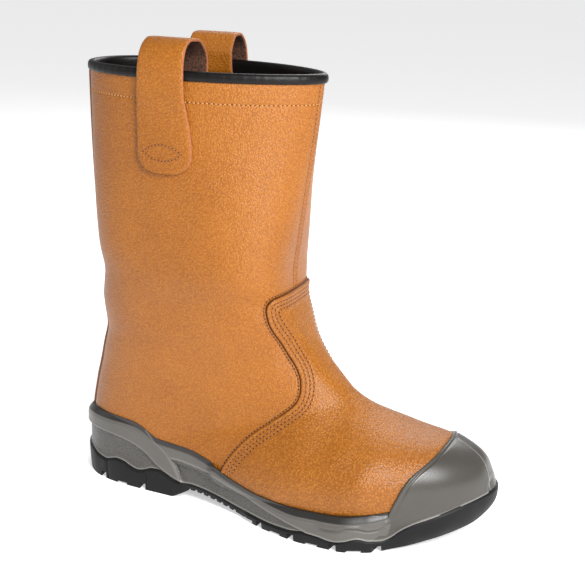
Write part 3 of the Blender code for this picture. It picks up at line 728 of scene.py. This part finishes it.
def gap_to_leather(z):
    """Distance from each point of the sole's outline, at given heights, in to the leather."""
    gaps = []
    for point, direction in zip(np.column_stack((plan, z)), inward):
        direction = Vector((*direction, 0))
        start = Vector(point) - direction * BEHIND_FACE
        spot = leather_face.ray_cast(start, direction)[0]
        gaps.append(LEATHER_REACH if spot is None else (spot - start).length - BEHIND_FACE)
    return np.min([np.roll(gaps, shift) for shift in range(-4, 5)], axis=0)


wall_top = smooth(*TOP_EDGE, plan[:, 0])
wall_line = smooth(*COLOUR_LINE, plan[:, 0])
wall_rings = []
grain_rows = []
painted_highlight_rows = []


def add_ring(inset, z, grained=np.zeros(STATIONS), pale=np.zeros(STATIONS)):
    """Ring of the grey wall at an inset and height, with its looks."""
    wall_rings.append(np.column_stack((plan + inward * inset[:, None], z)))
    grain_rows.append(grained)
    painted_highlight_rows.append(pale)


for share in np.linspace(0, 1, WALL_ROWS):
    z = wall_line + (wall_top - wall_line) * share
    inset, grained, pale = wall_inset(plan[:, 0], z, wall_top, wall_line)
    add_ring(np.minimum(inset, gap_to_leather(z) - 0.35), z, grained, pale)
# The lip that closes on the leather, then the hidden back of the wall, going down
add_ring(np.minimum(gap_to_leather(wall_top - 0.5) + 0.6, LEATHER_REACH), wall_top + 0.1)
for share, least in ((0.7, 0.0), (0.4, 1.0), (0.0, 4.0)):
    z = wall_line + (wall_top - wall_line) * share
    gap = gap_to_leather(z)
    face = wall_inset(plan[:, 0], z, wall_top, wall_line)[0]
    behind_leather = np.minimum(gap, LEATHER_REACH) + 1.2
    add_ring(np.maximum(behind_leather, np.minimum(face, gap) + 0.4 + least), z)
midsole = ring_tube("midsole", wall_rings)


def store(piece, name, values):
    """Keep a value per point on a piece, for its material."""
    layer = piece.data.attributes.new(name, "FLOAT", "POINT")
    layer.data.foreach_set("value", np.asarray(values, np.float32))


ring_tree = point_tree(to_world(np.concatenate(wall_rings)))
ring_spots = [ring_tree.find(vertex.co)[1] for vertex in midsole.data.vertices]
ring_heights = np.array([ring[:, 2] for ring in wall_rings])
# How strongly the wall near its top edge is painted near black: painted shade on the rim.
rim_painted_shade = np.clip(1 - (wall_top - ring_heights) / 4.6, 0, 1)
# Pale paint along the colour line and the beads: painted highlights, kept in the 'flash' attribute.
painted_line_highlight = np.maximum(0.8 * np.clip(1 - (ring_heights - wall_line) / 1.3, 0, 1), painted_highlight_rows)
for look, values in (("grained", grain_rows), ("rim", rim_painted_shade), ("flash", painted_line_highlight)):
    store(midsole, look, np.concatenate(values)[ring_spots])


def grey_foam(name, light, dark, smoothness):
    """Expanded polyurethane from a steel mould: smooth skin with a dull sheen on bands and cap,
    spark-eroded grain between them, a rim painted near black as shade, and pale painted highlights
    on its raised lines."""
    material, shader, place = new_material(name)
    grained, rim, flash = (node(material, "ShaderNodeAttribute", {"attribute_name": look})
                           .outputs["Fac"] for look in ("grained", "rim", "flash"))
    crumbs = node(material, "ShaderNodeTexVoronoi", Vector=place, Scale=900.0).outputs["Distance"]
    base = blend(material, noise(material, place, 30.0, 5.0), dark, light)
    pits = reckon(material, "MULTIPLY", grained, crumbs, clamp=True)
    dotted = blend(material, pits, base, "#3A3835")
    # The rim is painted near black: painted shade.
    with_painted_rim_shade = blend(material, spread(material, rim, 0.10, 0.35, 0.0, 0.85), dotted, "#100F0E")
    rough = reckon(material, "MULTIPLY_ADD", grained, 1.0, 0.06)
    height = reckon(material, "MULTIPLY", rough, crumbs)
    gloss = spread(material, noise(material, place, 1500.0, 3.0), 0.3, 0.7, smoothness,
                   smoothness + 0.1)
    # The 'flash' attribute mixes in pale grey: painted highlights on the raised lines.
    set_shader(material, shader, Base_Color=blend(material, flash, with_painted_rim_shade, "#8E8B86"),
               Roughness=gloss, Normal=relief(material, height, 0.8, 0.0005), IOR=1.5)
    return material


paint(midsole, grey_foam("moulded grey polyurethane", "#5D5A55", "#4B4844", 0.34))
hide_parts("midsole")
finish_piece(midsole, 70)

# Toe cap: scuff guard moulded in one with the grey layer, 1.6 mm thick over the vamp, with
# a raised bevelled rear edge, a faint mould line over the top, and a soft sheen.
CAP_CENTRE = np.array((251.0, 3.0, 24.0))
CAP_REAR = ((-20, 5, 11, 16, 20, 27, 36.7, 43.5, 47.9, 52, 55, 60.7, 64.3, 90),
            (236, 238.5, 242, 245, 246.5, 248.3, 251.8, 254.4, 256.6, 259.5, 262.8, 269.2, 272.5,
             290))
CAP_AROUND = 300
CAP_UP = 150
CAP_BLEND = 2.0
CAP_HEIGHT = 4.0
CAP_THICKNESS = 1.6
CAP_EDGE_DROP = 1.9
cap_last = last_tree(CAP_HEIGHT)


def cap_surface():
    """Rays out of the middle of the toe, and how far along them the cap's face lies."""
    around = np.radians(np.linspace(-118, 118, CAP_AROUND))
    up = np.radians(np.linspace(-38, 89.9, CAP_UP))
    rise, turn = np.meshgrid(up, around, indexing="ij")
    rays = np.stack((np.cos(turn) * np.cos(rise), np.sin(turn) * np.cos(rise), np.sin(rise)), -1)
    reach = np.zeros((CAP_UP, CAP_AROUND))
    a = plan - CAP_CENTRE[:2]
    b = np.roll(plan, -1, axis=0) - CAP_CENTRE[:2]
    for j in range(CAP_AROUND):
        level = np.array((math.cos(around[j]), math.sin(around[j])))
        cross_a = a[:, 0] * level[1] - a[:, 1] * level[0]
        cross_b = b[:, 0] * level[1] - b[:, 1] * level[0]
        k = np.nonzero((cross_a * cross_b <= 0) & ((a @ level) > 0))[0][0]
        edge = a[k] + (b[k] - a[k]) * (cross_a[k] / (cross_a[k] - cross_b[k]))
        wall = float(np.linalg.norm(edge))
        edge_x = edge[0] + CAP_CENTRE[0]
        line = float(smooth(*COLOUR_LINE, edge_x))
        tip = min(max((edge_x - 245) / 40, 0), 1)
        for i in range(CAP_UP):
            spot = cap_last.ray_cast(Vector(CAP_CENTRE), Vector(rays[i, j]))[0]
            dome = (spot - Vector(CAP_CENTRE)).length if spot else 0.0
            height = CAP_CENTRE[2] + math.tan(up[i]) * wall
            above = max(height - line, 0)
            lean = 0.5 + 2.0 * tip + (0.15 + 0.10 * tip) * above + 0.012 * above ** 2
            flank = (wall - lean) / max(math.cos(up[i]), 0.02) if height <= line + 17 else 0.0
            high, low = max(dome, flank), min(dome, flank)
            reach[i, j] = high + max(CAP_BLEND - (high - low), 0) ** 2 / (4 * CAP_BLEND)
    for _ in range(3):
        reach[1:-1] = (reach[:-2] + 2 * reach[1:-1] + reach[2:]) / 4
        reach[:, 1:-1] = (reach[:, :-2] + 2 * reach[:, 1:-1] + reach[:, 2:]) / 4
    return rays, reach


cap_rays, cap_reach = cap_surface()
cap_points = CAP_CENTRE + cap_rays * cap_reach[..., None]
behind = cap_points[..., 0] - smooth(*CAP_REAR, cap_points[..., 2])
above = cap_points[..., 2] - smooth(*COLOUR_LINE, cap_points[..., 0])
cap_field = np.minimum(behind, above)
toe_cap = lay_flat("toe_cap", CAP_AROUND - 1, CAP_UP - 1, last_column=CAP_AROUND - 1,
                   last_row=CAP_UP - 1)
mark_off(toe_cap, cap_field, [0.0], trim=True)
mark_off(toe_cap, behind, (0.3, 0.7, 1.2, 1.8, 2.6, 3.4, 4.2, 5.0))
PARTING_LINE = ((240, 277, 290, 306), (8.6, 6.9, 3.6, -0.4))
beside_parting = cap_points[..., 1] - smooth(*PARTING_LINE, cap_points[..., 0])
mark_off(toe_cap, beside_parting, (-0.9, -0.3, 0.3, 0.9))
cap_flat = take_points(toe_cap.data)
cap_base, cap_out, from_edge, over_line, parting = (
    on_grid(values, cap_flat)
    for values in (cap_points, cap_rays, behind, above, beside_parting))
high_up = step(cap_base[:, 2] - 26, 10)
lower = rolled_edge(from_edge, CAP_EDGE_DROP, 1.8) - CAP_EDGE_DROP
lower += -0.55 * bump_line(from_edge - 3.6, 0.9) * high_up
lower += 0.35 * bump_line(from_edge - 1.9, 0.9) * high_up
lower += 0.45 * bump_line(over_line, 0.9)
lower += 0.3 * bump_line(parting, 0.5) * step(from_edge - 9, 5) * step(over_line - 10, 5)
set_points(toe_cap.data, to_world(cap_base + cap_out * lower[:, None]))
mend(2e-6)
for look in ("grained", "rim"):
    store(toe_cap, look, np.zeros(len(toe_cap.data.vertices)))
cap_spots = take_points(toe_cap.data) / MM + (HEEL_REST, 0, 0)
off_parting = cap_spots[:, 1] - smooth(*PARTING_LINE, cap_spots[:, 0])
over_black = cap_spots[:, 2] - smooth(*COLOUR_LINE, cap_spots[:, 0])
from_rear = cap_spots[:, 0] - smooth(*CAP_REAR, cap_spots[:, 2])
# Pale paint along the parting line and the colour line: painted highlights.
painted_parting_highlight = 0.7 * bump_line(off_parting, 0.45) * step(from_rear - 5, 3)
store(toe_cap, "flash", np.maximum(painted_parting_highlight, np.clip(1 - over_black / 1.3, 0, 1) * 0.8))
# The cap is the same grey moulding with its colours darkened as painted shade; only its smoother
# skin is its own.
paint(toe_cap, grey_foam("smooth scuff cap polyurethane darkened as painted shade", "#484540", "#393632", 0.27))
shell_wall(toe_cap, CAP_THICKNESS * MM, 0)
finish_piece(toe_cap, 60)

# Black layer: dense moulded rubber with a lugged heel block, a ribbed waist, forefoot lugs
# and a bumper that rises round the toe. Its cross grooves run right through to the sides.
TREAD = ((0, 84, 92, 101, 123, 143, 160, 239, 255, 273, 292, 300, 307),
         (0, 0, 3.5, 7.8, 5.2, 2.1, 0, 0, 2.3, 5.7, 10.7, 13.2, 17.5))
HEEL_GROOVES = (30.7, 65.1)
BALL_GROOVES = (158.1, 184.8, 215.2, 240.7)
HEEL_STEPS = (47.5,)
BALL_STEPS = (147.5, 171.5, 200.0, 228.0)
WAIST_RIBS = (99.0, 104.5, 110.0, 115.5, 121.0, 126.5, 132.0, 137.5)
BLACK_ROWS = 22
GROOVE_DEPTH = 4.6
STEP_DEPTH = 1.5
LONG_GROOVE_HALF = 1.6


def outsole_rings():
    """Rings of the black layer's side, from the colour line down to the tread's edge."""
    x = plan[:, 0]
    tread = smooth(*TREAD, x)
    rings = []
    for share in np.linspace(0, 1, BLACK_ROWS):
        z = wall_line + (tread - wall_line) * share
        height = np.maximum(wall_line - tread, 0.1)
        toe = step(x - 262, 30)
        inset = 1.3 - 1.0 * step(wall_line - z - 1.2, 1.6) + 1.1 * share ** 2 * (1 - toe)
        inset += toe * (np.minimum(height, 16) * 0.30 * share ** 3 + 0.6 * (1 - share))
        for groove in HEEL_GROOVES:
            inset = inset + 0.9 * bump_line(x - groove + 1, 1.0) * (share < 0.98)
        inset += 1.6 * step(x - 93, 8) * step(146 - x, 10) * step(share - 0.15, 0.2)
        rings.append(np.column_stack((plan + inward * inset[:, None], z)))
    return rings


def ring_faces(first, rings, count):
    """Faces between rings of points that follow each other in a list."""
    return [(a + k, a + (k + 1) % count, a + count + (k + 1) % count, a + count + k)
            for a in range(first, first + (rings - 1) * count, count) for k in range(count)]


def new_piece(name, points, faces, kinds=None):
    """Piece of given points in mm and faces, with a material number for each face."""
    mesh = bpy.data.meshes.new(name)
    mesh.from_pydata([tuple(p) for p in to_world(points)], [], faces)
    if kinds:
        mesh.polygons.foreach_set("material_index", kinds)
    piece = bpy.data.objects.new(name, mesh)
    bpy.context.collection.objects.link(piece)
    make_active(piece)
    return piece


def closed_block(name, rings):
    """Solid through rings of paired stations, closed across at both ends."""
    count = len(rings[0])
    faces = ring_faces(0, len(rings), count)
    for first in (0, (len(rings) - 1) * count):
        for k in range(count // 2):
            near = (first + k, first + k + 1)
            far = (first + (count - k - 1) % count, first + (count - k) % count)
            faces.append(tuple(dict.fromkeys((*near, *far))))
    block = new_piece(name, np.concatenate(rings), faces)
    mend(0)
    return block


def chevron(x, width, sweep, depth):
    """Corners of a groove cutter across the tread: below first, then above."""
    half = width / 2
    base = float(smooth(*TREAD, x))
    corners = ((x - half, -70), (x + half, -70), (x + half + sweep, 0), (x + half, 70),
               (x - half, 70), (x - half + sweep, 0))
    return [(px, py, z) for z in (-9.0, base + depth) for px, py in corners]


def lengthwise(y):
    """Corners of a straight groove cutter along the tread."""
    low, high = y - LONG_GROOVE_HALF, y + LONG_GROOVE_HALF
    corners = ((8, low), (70, low), (200, low), (200, high), (70, high), (8, high))
    return [(px, py, z) for z in (-9.0, 3.6) for px, py in corners]


def groove_cutter(cuts):
    """All groove cutters as one mesh of separate prisms."""
    points = []
    faces = []
    for cut in cuts:
        first = len(points)
        points += cut
        faces += [tuple(range(first + 5, first - 1, -1)), tuple(range(first + 6, first + 12))]
        faces += ring_faces(first, 2, 6)
    return new_piece("groove_cutter", points, faces)


outsole = closed_block("outsole", outsole_rings())
for cuts in (
        [chevron(x, 4.5, -9, GROOVE_DEPTH) for x in HEEL_GROOVES]
        + [chevron(x, 5.0, 9, GROOVE_DEPTH) for x in BALL_GROOVES],
        [chevron(x, 8.5, -9, STEP_DEPTH) for x in HEEL_STEPS]
        + [chevron(x, 9.0, 9, STEP_DEPTH) for x in BALL_STEPS],
        [chevron(x, 2.4, 0, 1.6) for x in WAIST_RIBS],
        [lengthwise(y) for y in (-14.0, 13.0)]):
    cutter = groove_cutter(cuts)
    make_active(outsole)
    carve = outsole.modifiers.new("grooves", "BOOLEAN")
    carve.operation = "DIFFERENCE"
    carve.solver = "EXACT"
    carve.object = cutter
    bpy.ops.object.modifier_apply(modifier="grooves")
    bpy.data.objects.remove(cutter)


def black_rubber():
    """Moulded nitrile rubber: near black, with a dull bloom and dust in its fine grain."""
    material, shader, place = new_material("moulded black rubber")
    cloud = noise(material, place, 60.0, 6.0)
    fine = noise(material, place, 1300.0, 4.0)
    set_shader(material, shader, Base_Color=blend(material, cloud, "#09090A", "#151517"),
               Roughness=spread(material, cloud, 0.3, 0.7, 0.48, 0.66),
               Normal=relief(material, fine, 0.35, 0.0002), IOR=1.52, Specular_IOR_Level=0.22)
    return material


outsole.data.materials.clear()
paint(outsole, black_rubber())
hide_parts("outsole")
finish_piece(outsole, 35)

# Collar binding: soft black piping folded over the raw edge of the leather and sewn down,
# so it is rounder outside and runs 11 mm down inside. It puckers slightly along its length.
BINDING_SECTION = (
    (0.2, -4.4), (0.9, -4.7), (1.45, -4.1), (1.75, -3.1), (1.8, -2.0), (1.7, -0.9), (1.35, 0.1),
    (0.8, 0.9), (0.0, 1.4), (-1.1, 1.65), (-2.2, 1.4), (-3.0, 0.9), (-3.5, 0.1), (-3.75, -0.9),
    (-3.8, -2.4), (-3.7, -5.0), (-3.5, -8.0), (-3.35, -10.5), (-2.9, -11.0), (-2.1, -10.5),
    (-1.8, -6.0), (-1.2, -3.5),
)
collar = last_points[0, :-1]
collar_out = unit(last_normals[0, :-1] * (1, 1, 0))
around_collar = np.linspace(0, 2 * math.pi, len(collar), endpoint=False)
pucker = 0.10 * np.sin(61 * around_collar) + 0.07 * np.sin(97 * around_collar + 1.3)
binding_rings = []
for outer, rise in BINDING_SECTION:
    swell = pucker if outer > 0 else 0 * pucker
    ring = collar + collar_out * (outer + swell)[:, None]
    binding_rings.append(ring + np.array((0, 0, rise)))
binding = ring_tube("collar_binding", binding_rings)


def black_piping():
    """Soft black leathercloth: a dull plastic skin over fabric, with fine creases."""
    material, shader, place = new_material("black leathercloth piping")
    creases = node(material, "ShaderNodeTexVoronoi", {"feature": "DISTANCE_TO_EDGE"},
                   Vector=place, Scale=520.0).outputs["Distance"]
    cloud = noise(material, place, 90.0, 4.0)
    set_shader(material, shader, Base_Color=blend(material, cloud, "#060505", "#120E0D"),
               Roughness=0.42, Normal=relief(material, creases, 0.5, 0.0003),
               Specular_IOR_Level=0.25)
    return material


paint(binding, black_piping())
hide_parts("collar_binding")
finish_piece(binding, 70)

# Pull loops: straps of the same tan leather, 39 mm wide and 2.2 mm thick, folded over the
# collar. The flesh side inside the fold is brown suede, and the cut edges are raw and pale.
LOOP_X = 83.0
STRAP_THICKNESS = 2.2
STRAP_ROUNDING = 13.0
SHAFT_TOP = 297.0
# Length walked along the strap, how far it lies inside the shaft's face, height, width, and
# how far it leans forwards
LOOP_PATH = np.array((
    (0, -1.4, 234.0, 39.0, 2.4),
    (14, -1.4, 247.5, 39.6, 2.0),
    (28, -1.5, 261.5, 38.6, 0.9),
    (40, -1.9, 273.5, 36.6, -0.6),
    (52, -2.9, 285.5, 34.4, -1.4),
    (64, -3.1, 297.5, 33.6, -1.4),
    (74, -1.6, 307.2, 33.0, -1.2),
    (82, 2.4, 314.3, 32.4, -1.0),
    (90, 9.5, 317.9, 32.2, -0.6),
    (98, 17.4, 317.6, 32.4, 0.2),
    (106, 24.0, 312.8, 32.6, 0.8),
    (114, 27.4, 305.2, 33.0, 1.0),
    (124, 27.2, 295.4, 33.4, 1.0),
    (135, 22.0, 285.6, 34.4, 0.6),
    (146, 14.0, 277.8, 35.6, 0.2),
    (158, 7.6, 267.6, 36.6, 0.0),
    (166, 6.0, 260.0, 36.6, 0.0),
))
ALONG_STEPS = 150


def shaft_side(x, z, side):
    """Sideways place of the leather's face at a place seen from the side."""
    height = min(z, SHAFT_TOP)
    return leather_face.ray_cast(Vector((x, side * 120, height)), Vector((0, -side, 0)))[0].y


def strap(name, side):
    """Strap along its path, with a rounded raw edge all round its section."""
    run = np.linspace(0, LOOP_PATH[-1, 0], ALONG_STEPS)
    end = STRAP_ROUNDING * (1 - np.cos(np.linspace(0, math.pi / 2, 16)))
    run = np.concatenate((end * 0.999 + 0.01, run[run > STRAP_ROUNDING]))
    inward_path, z, width, shift = (smooth(LOOP_PATH[:, 0], LOOP_PATH[:, k], run)
                                    for k in range(1, 5))
    slope = unit(np.stack((np.gradient(inward_path, run), np.gradient(z, run)), 1))
    from_end = np.clip(STRAP_ROUNDING - run, 0, STRAP_ROUNDING)
    corner = STRAP_ROUNDING - np.sqrt(np.clip(STRAP_ROUNDING ** 2 - from_end ** 2, 0, None))
    half_width = width / 2 - corner
    belly = 0.07 * np.clip(1 - run / 20, 0, 1)
    rings = []
    for i in range(len(run)):
        ring = []
        for face in (1, -1):
            for share in np.sin(np.linspace(-math.pi / 2, math.pi / 2, 15)) * face:
                edge = max(abs(share) - 0.93, 0) / 0.07
                thick = STRAP_THICKNESS / 2 * math.sqrt(max(1 - 0.75 * edge ** 2, 0))
                x = LOOP_X + shift[i] + share * half_width[i]
                lie = inward_path[i] - face * thick * slope[i, 1]
                up_z = z[i] + face * thick * slope[i, 0]
                up_z -= belly[i] * (half_width[i] - abs(share * half_width[i]))
                ring.append((x, shaft_side(x, z[i], side) - side * lie, up_z))
        rings.append(ring)
    return strap_mesh(name, rings)


def strap_mesh(name, rings):
    """Closed mesh through the strap's sections, its grain side first and its flesh second."""
    rings = np.asarray(rings)
    rows, count = rings.shape[:2]
    half = count // 2
    edges = (0, half - 2, half - 1, half, count - 2, count - 1)
    faces = ring_faces(0, rows, count)
    kinds = [2 if k in edges else int(k >= half) for k in range(count)] * (rows - 1)
    for a in (0, (rows - 1) * count):
        faces += [(a + k, a + k + 1, a + count - k - 2, a + count - k - 1)
                  for k in range(half - 1)]
        kinds += [2] * (half - 1)
    piece = new_piece(name, rings.reshape(-1, 3), faces, kinds)
    mend(0)
    return piece


def flesh_leather(name, light, dark, depth):
    """Flesh side or cut edge of the leather: matt loose fibres, brown with pale flecks."""
    material, shader, place = new_material(name)
    fibres = noise(material, place, 700.0, 8.0, 0.75)
    patch = spread(material, fibres, 0.40, 0.62)
    set_shader(material, shader, Base_Color=blend(material, patch, dark, light), Roughness=0.85,
               Normal=relief(material, fibres, depth, 0.0006))
    return material


suede = flesh_leather("brown flesh-side suede", "#6A4430", "#2A160C", 0.8)
raw_edge = flesh_leather("raw cut leather edge", "#A4653C", "#8A4E2A", 0.3)
for loop_name, loop_side in (("pull_loop_outer", -1), ("pull_loop_inner", 1)):
    loop = strap(loop_name, loop_side)
    paint(loop, tan_grain, suede, raw_edge)
    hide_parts(loop_name)
    finish_piece(loop, 50)

# Back strip: a narrow strip of brown leather, 1.7 mm high, sewn over the seam behind. It
# runs from under the grey layer's rim up to the collar binding.
STRIP_HALF = 13.5
STRIP_LOW, STRIP_HIGH = 40.0, 293.4
STRIP_LEATHER = 1.7
STRIP_ROW = 2.6
behind_middle = np.minimum(STRIP_HALF - np.abs(last_points[:, :, 1]),
                           80.0 - last_points[:, :, 0])
strip_field = np.minimum(behind_middle, last_points[:, :, 2] - STRIP_LOW)
strip_field = np.minimum(strip_field, STRIP_HIGH - last_points[:, :, 2])


def strip_lift(base, flat):
    """The folds it lies over, its rounded edge, and the sunk row of stitches."""
    inside = on_grid(strip_field, flat)
    shape = folds(base) * np.clip((298 - base[:, 2]) / 6, 0, 1)
    shape += rolled_edge(inside, STRIP_LEATHER, 0.9)
    shape -= 0.3 * bump_line(inside - STRIP_ROW, 0.6)
    return shape


back_strip = overlay("back_strip", strip_field, (0.1, 0.3, 0.6, 0.9, 1.6, 2.1, 2.6, 3.1, 3.8),
                     strip_lift, 60, 200, first_column=GIRTH_COLUMNS * 0.38,
                     last_column=GIRTH_COLUMNS * 0.62, last_row=220)
paint(back_strip, grain_leather("brown strip leather", "#8A5024", "#5E3215", 1.3, 0.5))
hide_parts("back_strip")
finish_piece(back_strip, 60)

# Stitching: twisted polyester thread, about 0.8 mm thick, in lock stitches 2.9 mm long. It
# sinks into a trough in the leather, and each needle hole is a small dark disc of painted shadow.
STITCH = 2.9
THREAD = 0.42
THREAD_SUNK = 0.36


def place_on_last(line, lift):
    """Points and outward directions of a line of girth columns and rows, lifted."""
    base = on_grid(last_points, line)
    out = unit(on_grid(last_normals, line))
    return base + out * (folds(base) + lift)[:, None], out


def thread(name, light, dark):
    """Twisted polyester thread with a slight sheen, in fine dark and light mottling."""
    material, shader, place = new_material(name)
    twist = noise(material, place, 1800.0)
    set_shader(material, shader, Base_Color=blend(material, twist, dark, light), Roughness=0.5)
    return material


def needle_hole_painted_shadow():
    """Painted shadow of a needle hole: a dark, fully matt disc."""
    material, shader, place = new_material("needle hole shadow")
    speck = noise(material, place, 1500.0)
    set_shader(material, shader, Base_Color=blend(material, speck, "#2A1206", "#4A220C"),
               Roughness=1.0)
    return material


tan_thread = thread("tan polyester thread", "#A8682E", "#6E3C14")
pale_thread = thread("pale tan polyester thread", "#CF9350", "#9A6228")
hole_shadow = needle_hole_painted_shadow()
# Share of the stitch's length, width of the thread there, and height over the leather
STITCH_SHAPE = ((0.14, 0.45, -0.25), (0.27, 0.95, 0.10), (0.5, 1.05, 0.22), (0.73, 0.95, 0.10),
                (0.86, 0.45, -0.25))
THREAD_SIDES = 6
HOLE_SIDES = 8


def prism(first, rings, sides):
    """Faces round a thread, with its two ends."""
    last = first + (rings - 1) * sides
    return ring_faces(first, rings, sides) + [tuple(range(first + sides - 1, first - 1, -1)),
                                              tuple(range(last, last + sides))]


def sew(name, points, out, yarn, pitch=STITCH, hole_size=1.0):
    """Row of stitches along points in mm, with a dark disc of painted shadow for the hole at the
    start of every stitch.
    """
    run = walked(points)
    count = max(int(run[-1] / pitch), 2)
    stops = np.linspace(0, run[-1], count + 1)
    knots = at_stops(points, run, stops)
    ways = unit(at_stops(out, run, stops))
    verts = []
    faces = []
    kinds = []
    for i in range(count):
        start = knots[i]
        along = knots[i + 1] - start
        length = np.linalg.norm(along)
        along /= length
        over = ways[i] + ways[i + 1]
        over /= np.linalg.norm(over)
        across = np.cross(over, along)
        first = len(verts)
        for share, width, rise in STITCH_SHAPE:
            middle = start + along * length * share + over * rise
            for k in range(THREAD_SIDES):
                turn = math.pi / 3 * k
                verts.append(middle + (across * math.cos(turn) + over * math.sin(turn))
                             * width * THREAD)
        faces += prism(first, len(STITCH_SHAPE), THREAD_SIDES)
        thread_faces = len(faces) - len(kinds)
        first = len(verts)
        # Flat dark disc at the needle hole: painted shadow.
        for rise in (0.10, -0.35):
            for k in range(HOLE_SIDES):
                turn = math.pi / 4 * k
                verts.append(start + over * rise + (along * math.cos(turn) * 0.85
                             + across * math.sin(turn) * 0.42) * hole_size)
        faces += [tuple(range(first, first + 8)), tuple(range(first + 15, first + 7, -1))]
        faces += [(first + k, first + 8 + k, first + 8 + (k + 1) % 8, first + (k + 1) % 8)
                  for k in range(HOLE_SIDES)]
        kinds += [0] * thread_faces + [1] * (HOLE_SIDES + 2)
    row = new_piece(name, verts, faces, kinds)
    paint(row, yarn, hole_shadow)
    finish_piece(row, 60)


def sew_lines(name, lines, lift, lowest, yarn, pitch=STITCH, hole_size=1.0, highest=math.inf):
    """Row of stitches along each line on the last, between two heights."""
    for number, line in enumerate(lines):
        points, out = place_on_last(line, lift)
        keep = (points[:, 2] > lowest(points[:, 0])) & (points[:, 2] < highest)
        if keep.sum() > 4:
            sew(f"{name}_{number + 1}", points[keep], out[keep], yarn, pitch, hole_size)


def over_sole(x):
    """Lowest stitches: just clear of the grey layer's top edge."""
    return smooth(*TOP_EDGE, x) + 0.6


def above_vamp(x):
    """Lowest stitches: at the vamp's top edge."""
    return np.full(len(x), VAMP_TOP)


for number, depth in enumerate(VAMP_ROWS):
    sew_lines(f"vamp_stitches_{number + 1}", line_on_last(vamp_inside, depth, rows=FOOT_ROWS),
              VAMP_LEATHER - THREAD_SUNK, over_sole, tan_thread)
sew_lines("vamp_edge_stitches", line_on_last(vamp_inside, -0.9, rows=FOOT_ROWS), 0.05, over_sole,
          tan_thread, 2.4)
sew_lines("hem_stitches", line_on_last(hem_depth, HEM_ROW), -0.28, above_vamp, pale_thread,
          STITCH, 0.75)
# Two rows down each side of the front seam, above the vamp
for side, columns in (("outer", (0.3, 60)), ("inner", (190, 249.7))):
    for number, depth in enumerate(SEAM_ROWS):
        seam_line = line_on_last(front_seam, depth, columns=columns, rows=(3, 130))
        sew_lines(f"front_seam_{side}_{number + 1}", seam_line, -0.3, above_vamp, tan_thread,
                  STITCH, 0.85, highest=292)
strip_line = line_on_last(behind_middle, STRIP_ROW, columns=(95, 155), rows=(4, 200))
sew_lines("back_strip_stitches", strip_line, 1.45, over_sole, tan_thread, highest=291)
# The loops' patches are held by an almond of stitches near their rounded ends
ALMOND = np.array((
    (-14.0, 0.0), (-10.5, 2.6), (-5.5, 4.6), (0.0, 5.3), (5.5, 4.5), (10.5, 2.5), (14.0, 0.0),
    (10.5, -2.6), (5.5, -4.6), (0.0, -5.4), (-5.5, -4.6), (-10.5, -2.6), (-14.0, 0.0),
)) + (LOOP_X + 1.2, 247.0)
for loop_name, side in (("outer", -1), ("inner", 1)):
    almond_points = np.array([(x, shaft_side(x, z, side) + side * 2.45, z) for x, z in ALMOND])
    almond_out = np.tile((0.0, float(side), 0.0), (len(ALMOND), 1))
    sew(f"loop_{loop_name}_stitches", almond_points, almond_out, tan_thread, 2.5, 0.85)

# Camera at the photograph's place and angle, looking down at the outer side
CAMERA_PLACE = Vector((0.39939, -0.71103, 0.37771))
YAW, PITCH, ROLL = math.radians(-22.0), math.radians(-16.5), math.radians(1.7)
ahead = Vector((math.cos(PITCH) * math.sin(YAW), math.cos(PITCH) * math.cos(YAW),
                math.sin(PITCH)))
right = Vector((math.cos(YAW), -math.sin(YAW), 0))
up = right.cross(ahead)
right, up = (right * math.cos(ROLL) + up * math.sin(ROLL),
             up * math.cos(ROLL) - right * math.sin(ROLL))
lens = bpy.data.cameras.new("camera")
lens.sensor_width = 36
lens.lens = 72.26
camera = bpy.data.objects.new("camera", lens)
camera.matrix_world = Matrix((right, up, -ahead)).transposed().to_4x4()
camera.location = CAMERA_PLACE
bpy.context.collection.objects.link(camera)
bpy.context.scene.camera = camera

# Studio: a pale floor and soft lamps
bpy.ops.mesh.primitive_plane_add(size=80, location=(0, 0, -0.0002))
floor = bpy.context.object
floor.name = "floor"
floor_paint, floor_shader, _ = new_material("matt white floor")
set_shader(floor_paint, floor_shader, Base_Color=srgb("#F7F7F7"), Roughness=0.8,
           Emission_Color=(1, 1, 1, 1), Emission_Strength=0.5)
paint(floor, floor_paint)

world = bpy.data.worlds.new("studio")
world.use_nodes = True
sky = world.node_tree.nodes["Background"]
sky.inputs["Color"].default_value = (1, 1, 1, 1)
sky.inputs["Strength"].default_value = 0.34
bpy.context.scene.world = world
bpy.context.scene.view_settings.view_transform = "Standard"


def soft_lamp(name, place, size, power):
    """A square soft box that faces the boot's middle."""
    light = bpy.data.lights.new(name, "AREA")
    light.size = size
    light.energy = power
    lamp = bpy.data.objects.new(name, light)
    lamp.location = place
    to_boot = Vector((0.1, 0, 0.12)) - Vector(place)
    lamp.rotation_euler = to_boot.to_track_quat("-Z", "Y").to_euler()
    bpy.context.collection.objects.link(lamp)


soft_lamp("key soft box", (1.05, -0.9, 1.2), 0.55, 30)
soft_lamp("heel soft box", (-1.2, -0.35, 0.75), 0.5, 1)
soft_lamp("toe soft box", (1.02, -0.72, 0.62), 0.35, 6)
soft_lamp("back soft box", (0.0, 1.3, 1.1), 0.9, 12)
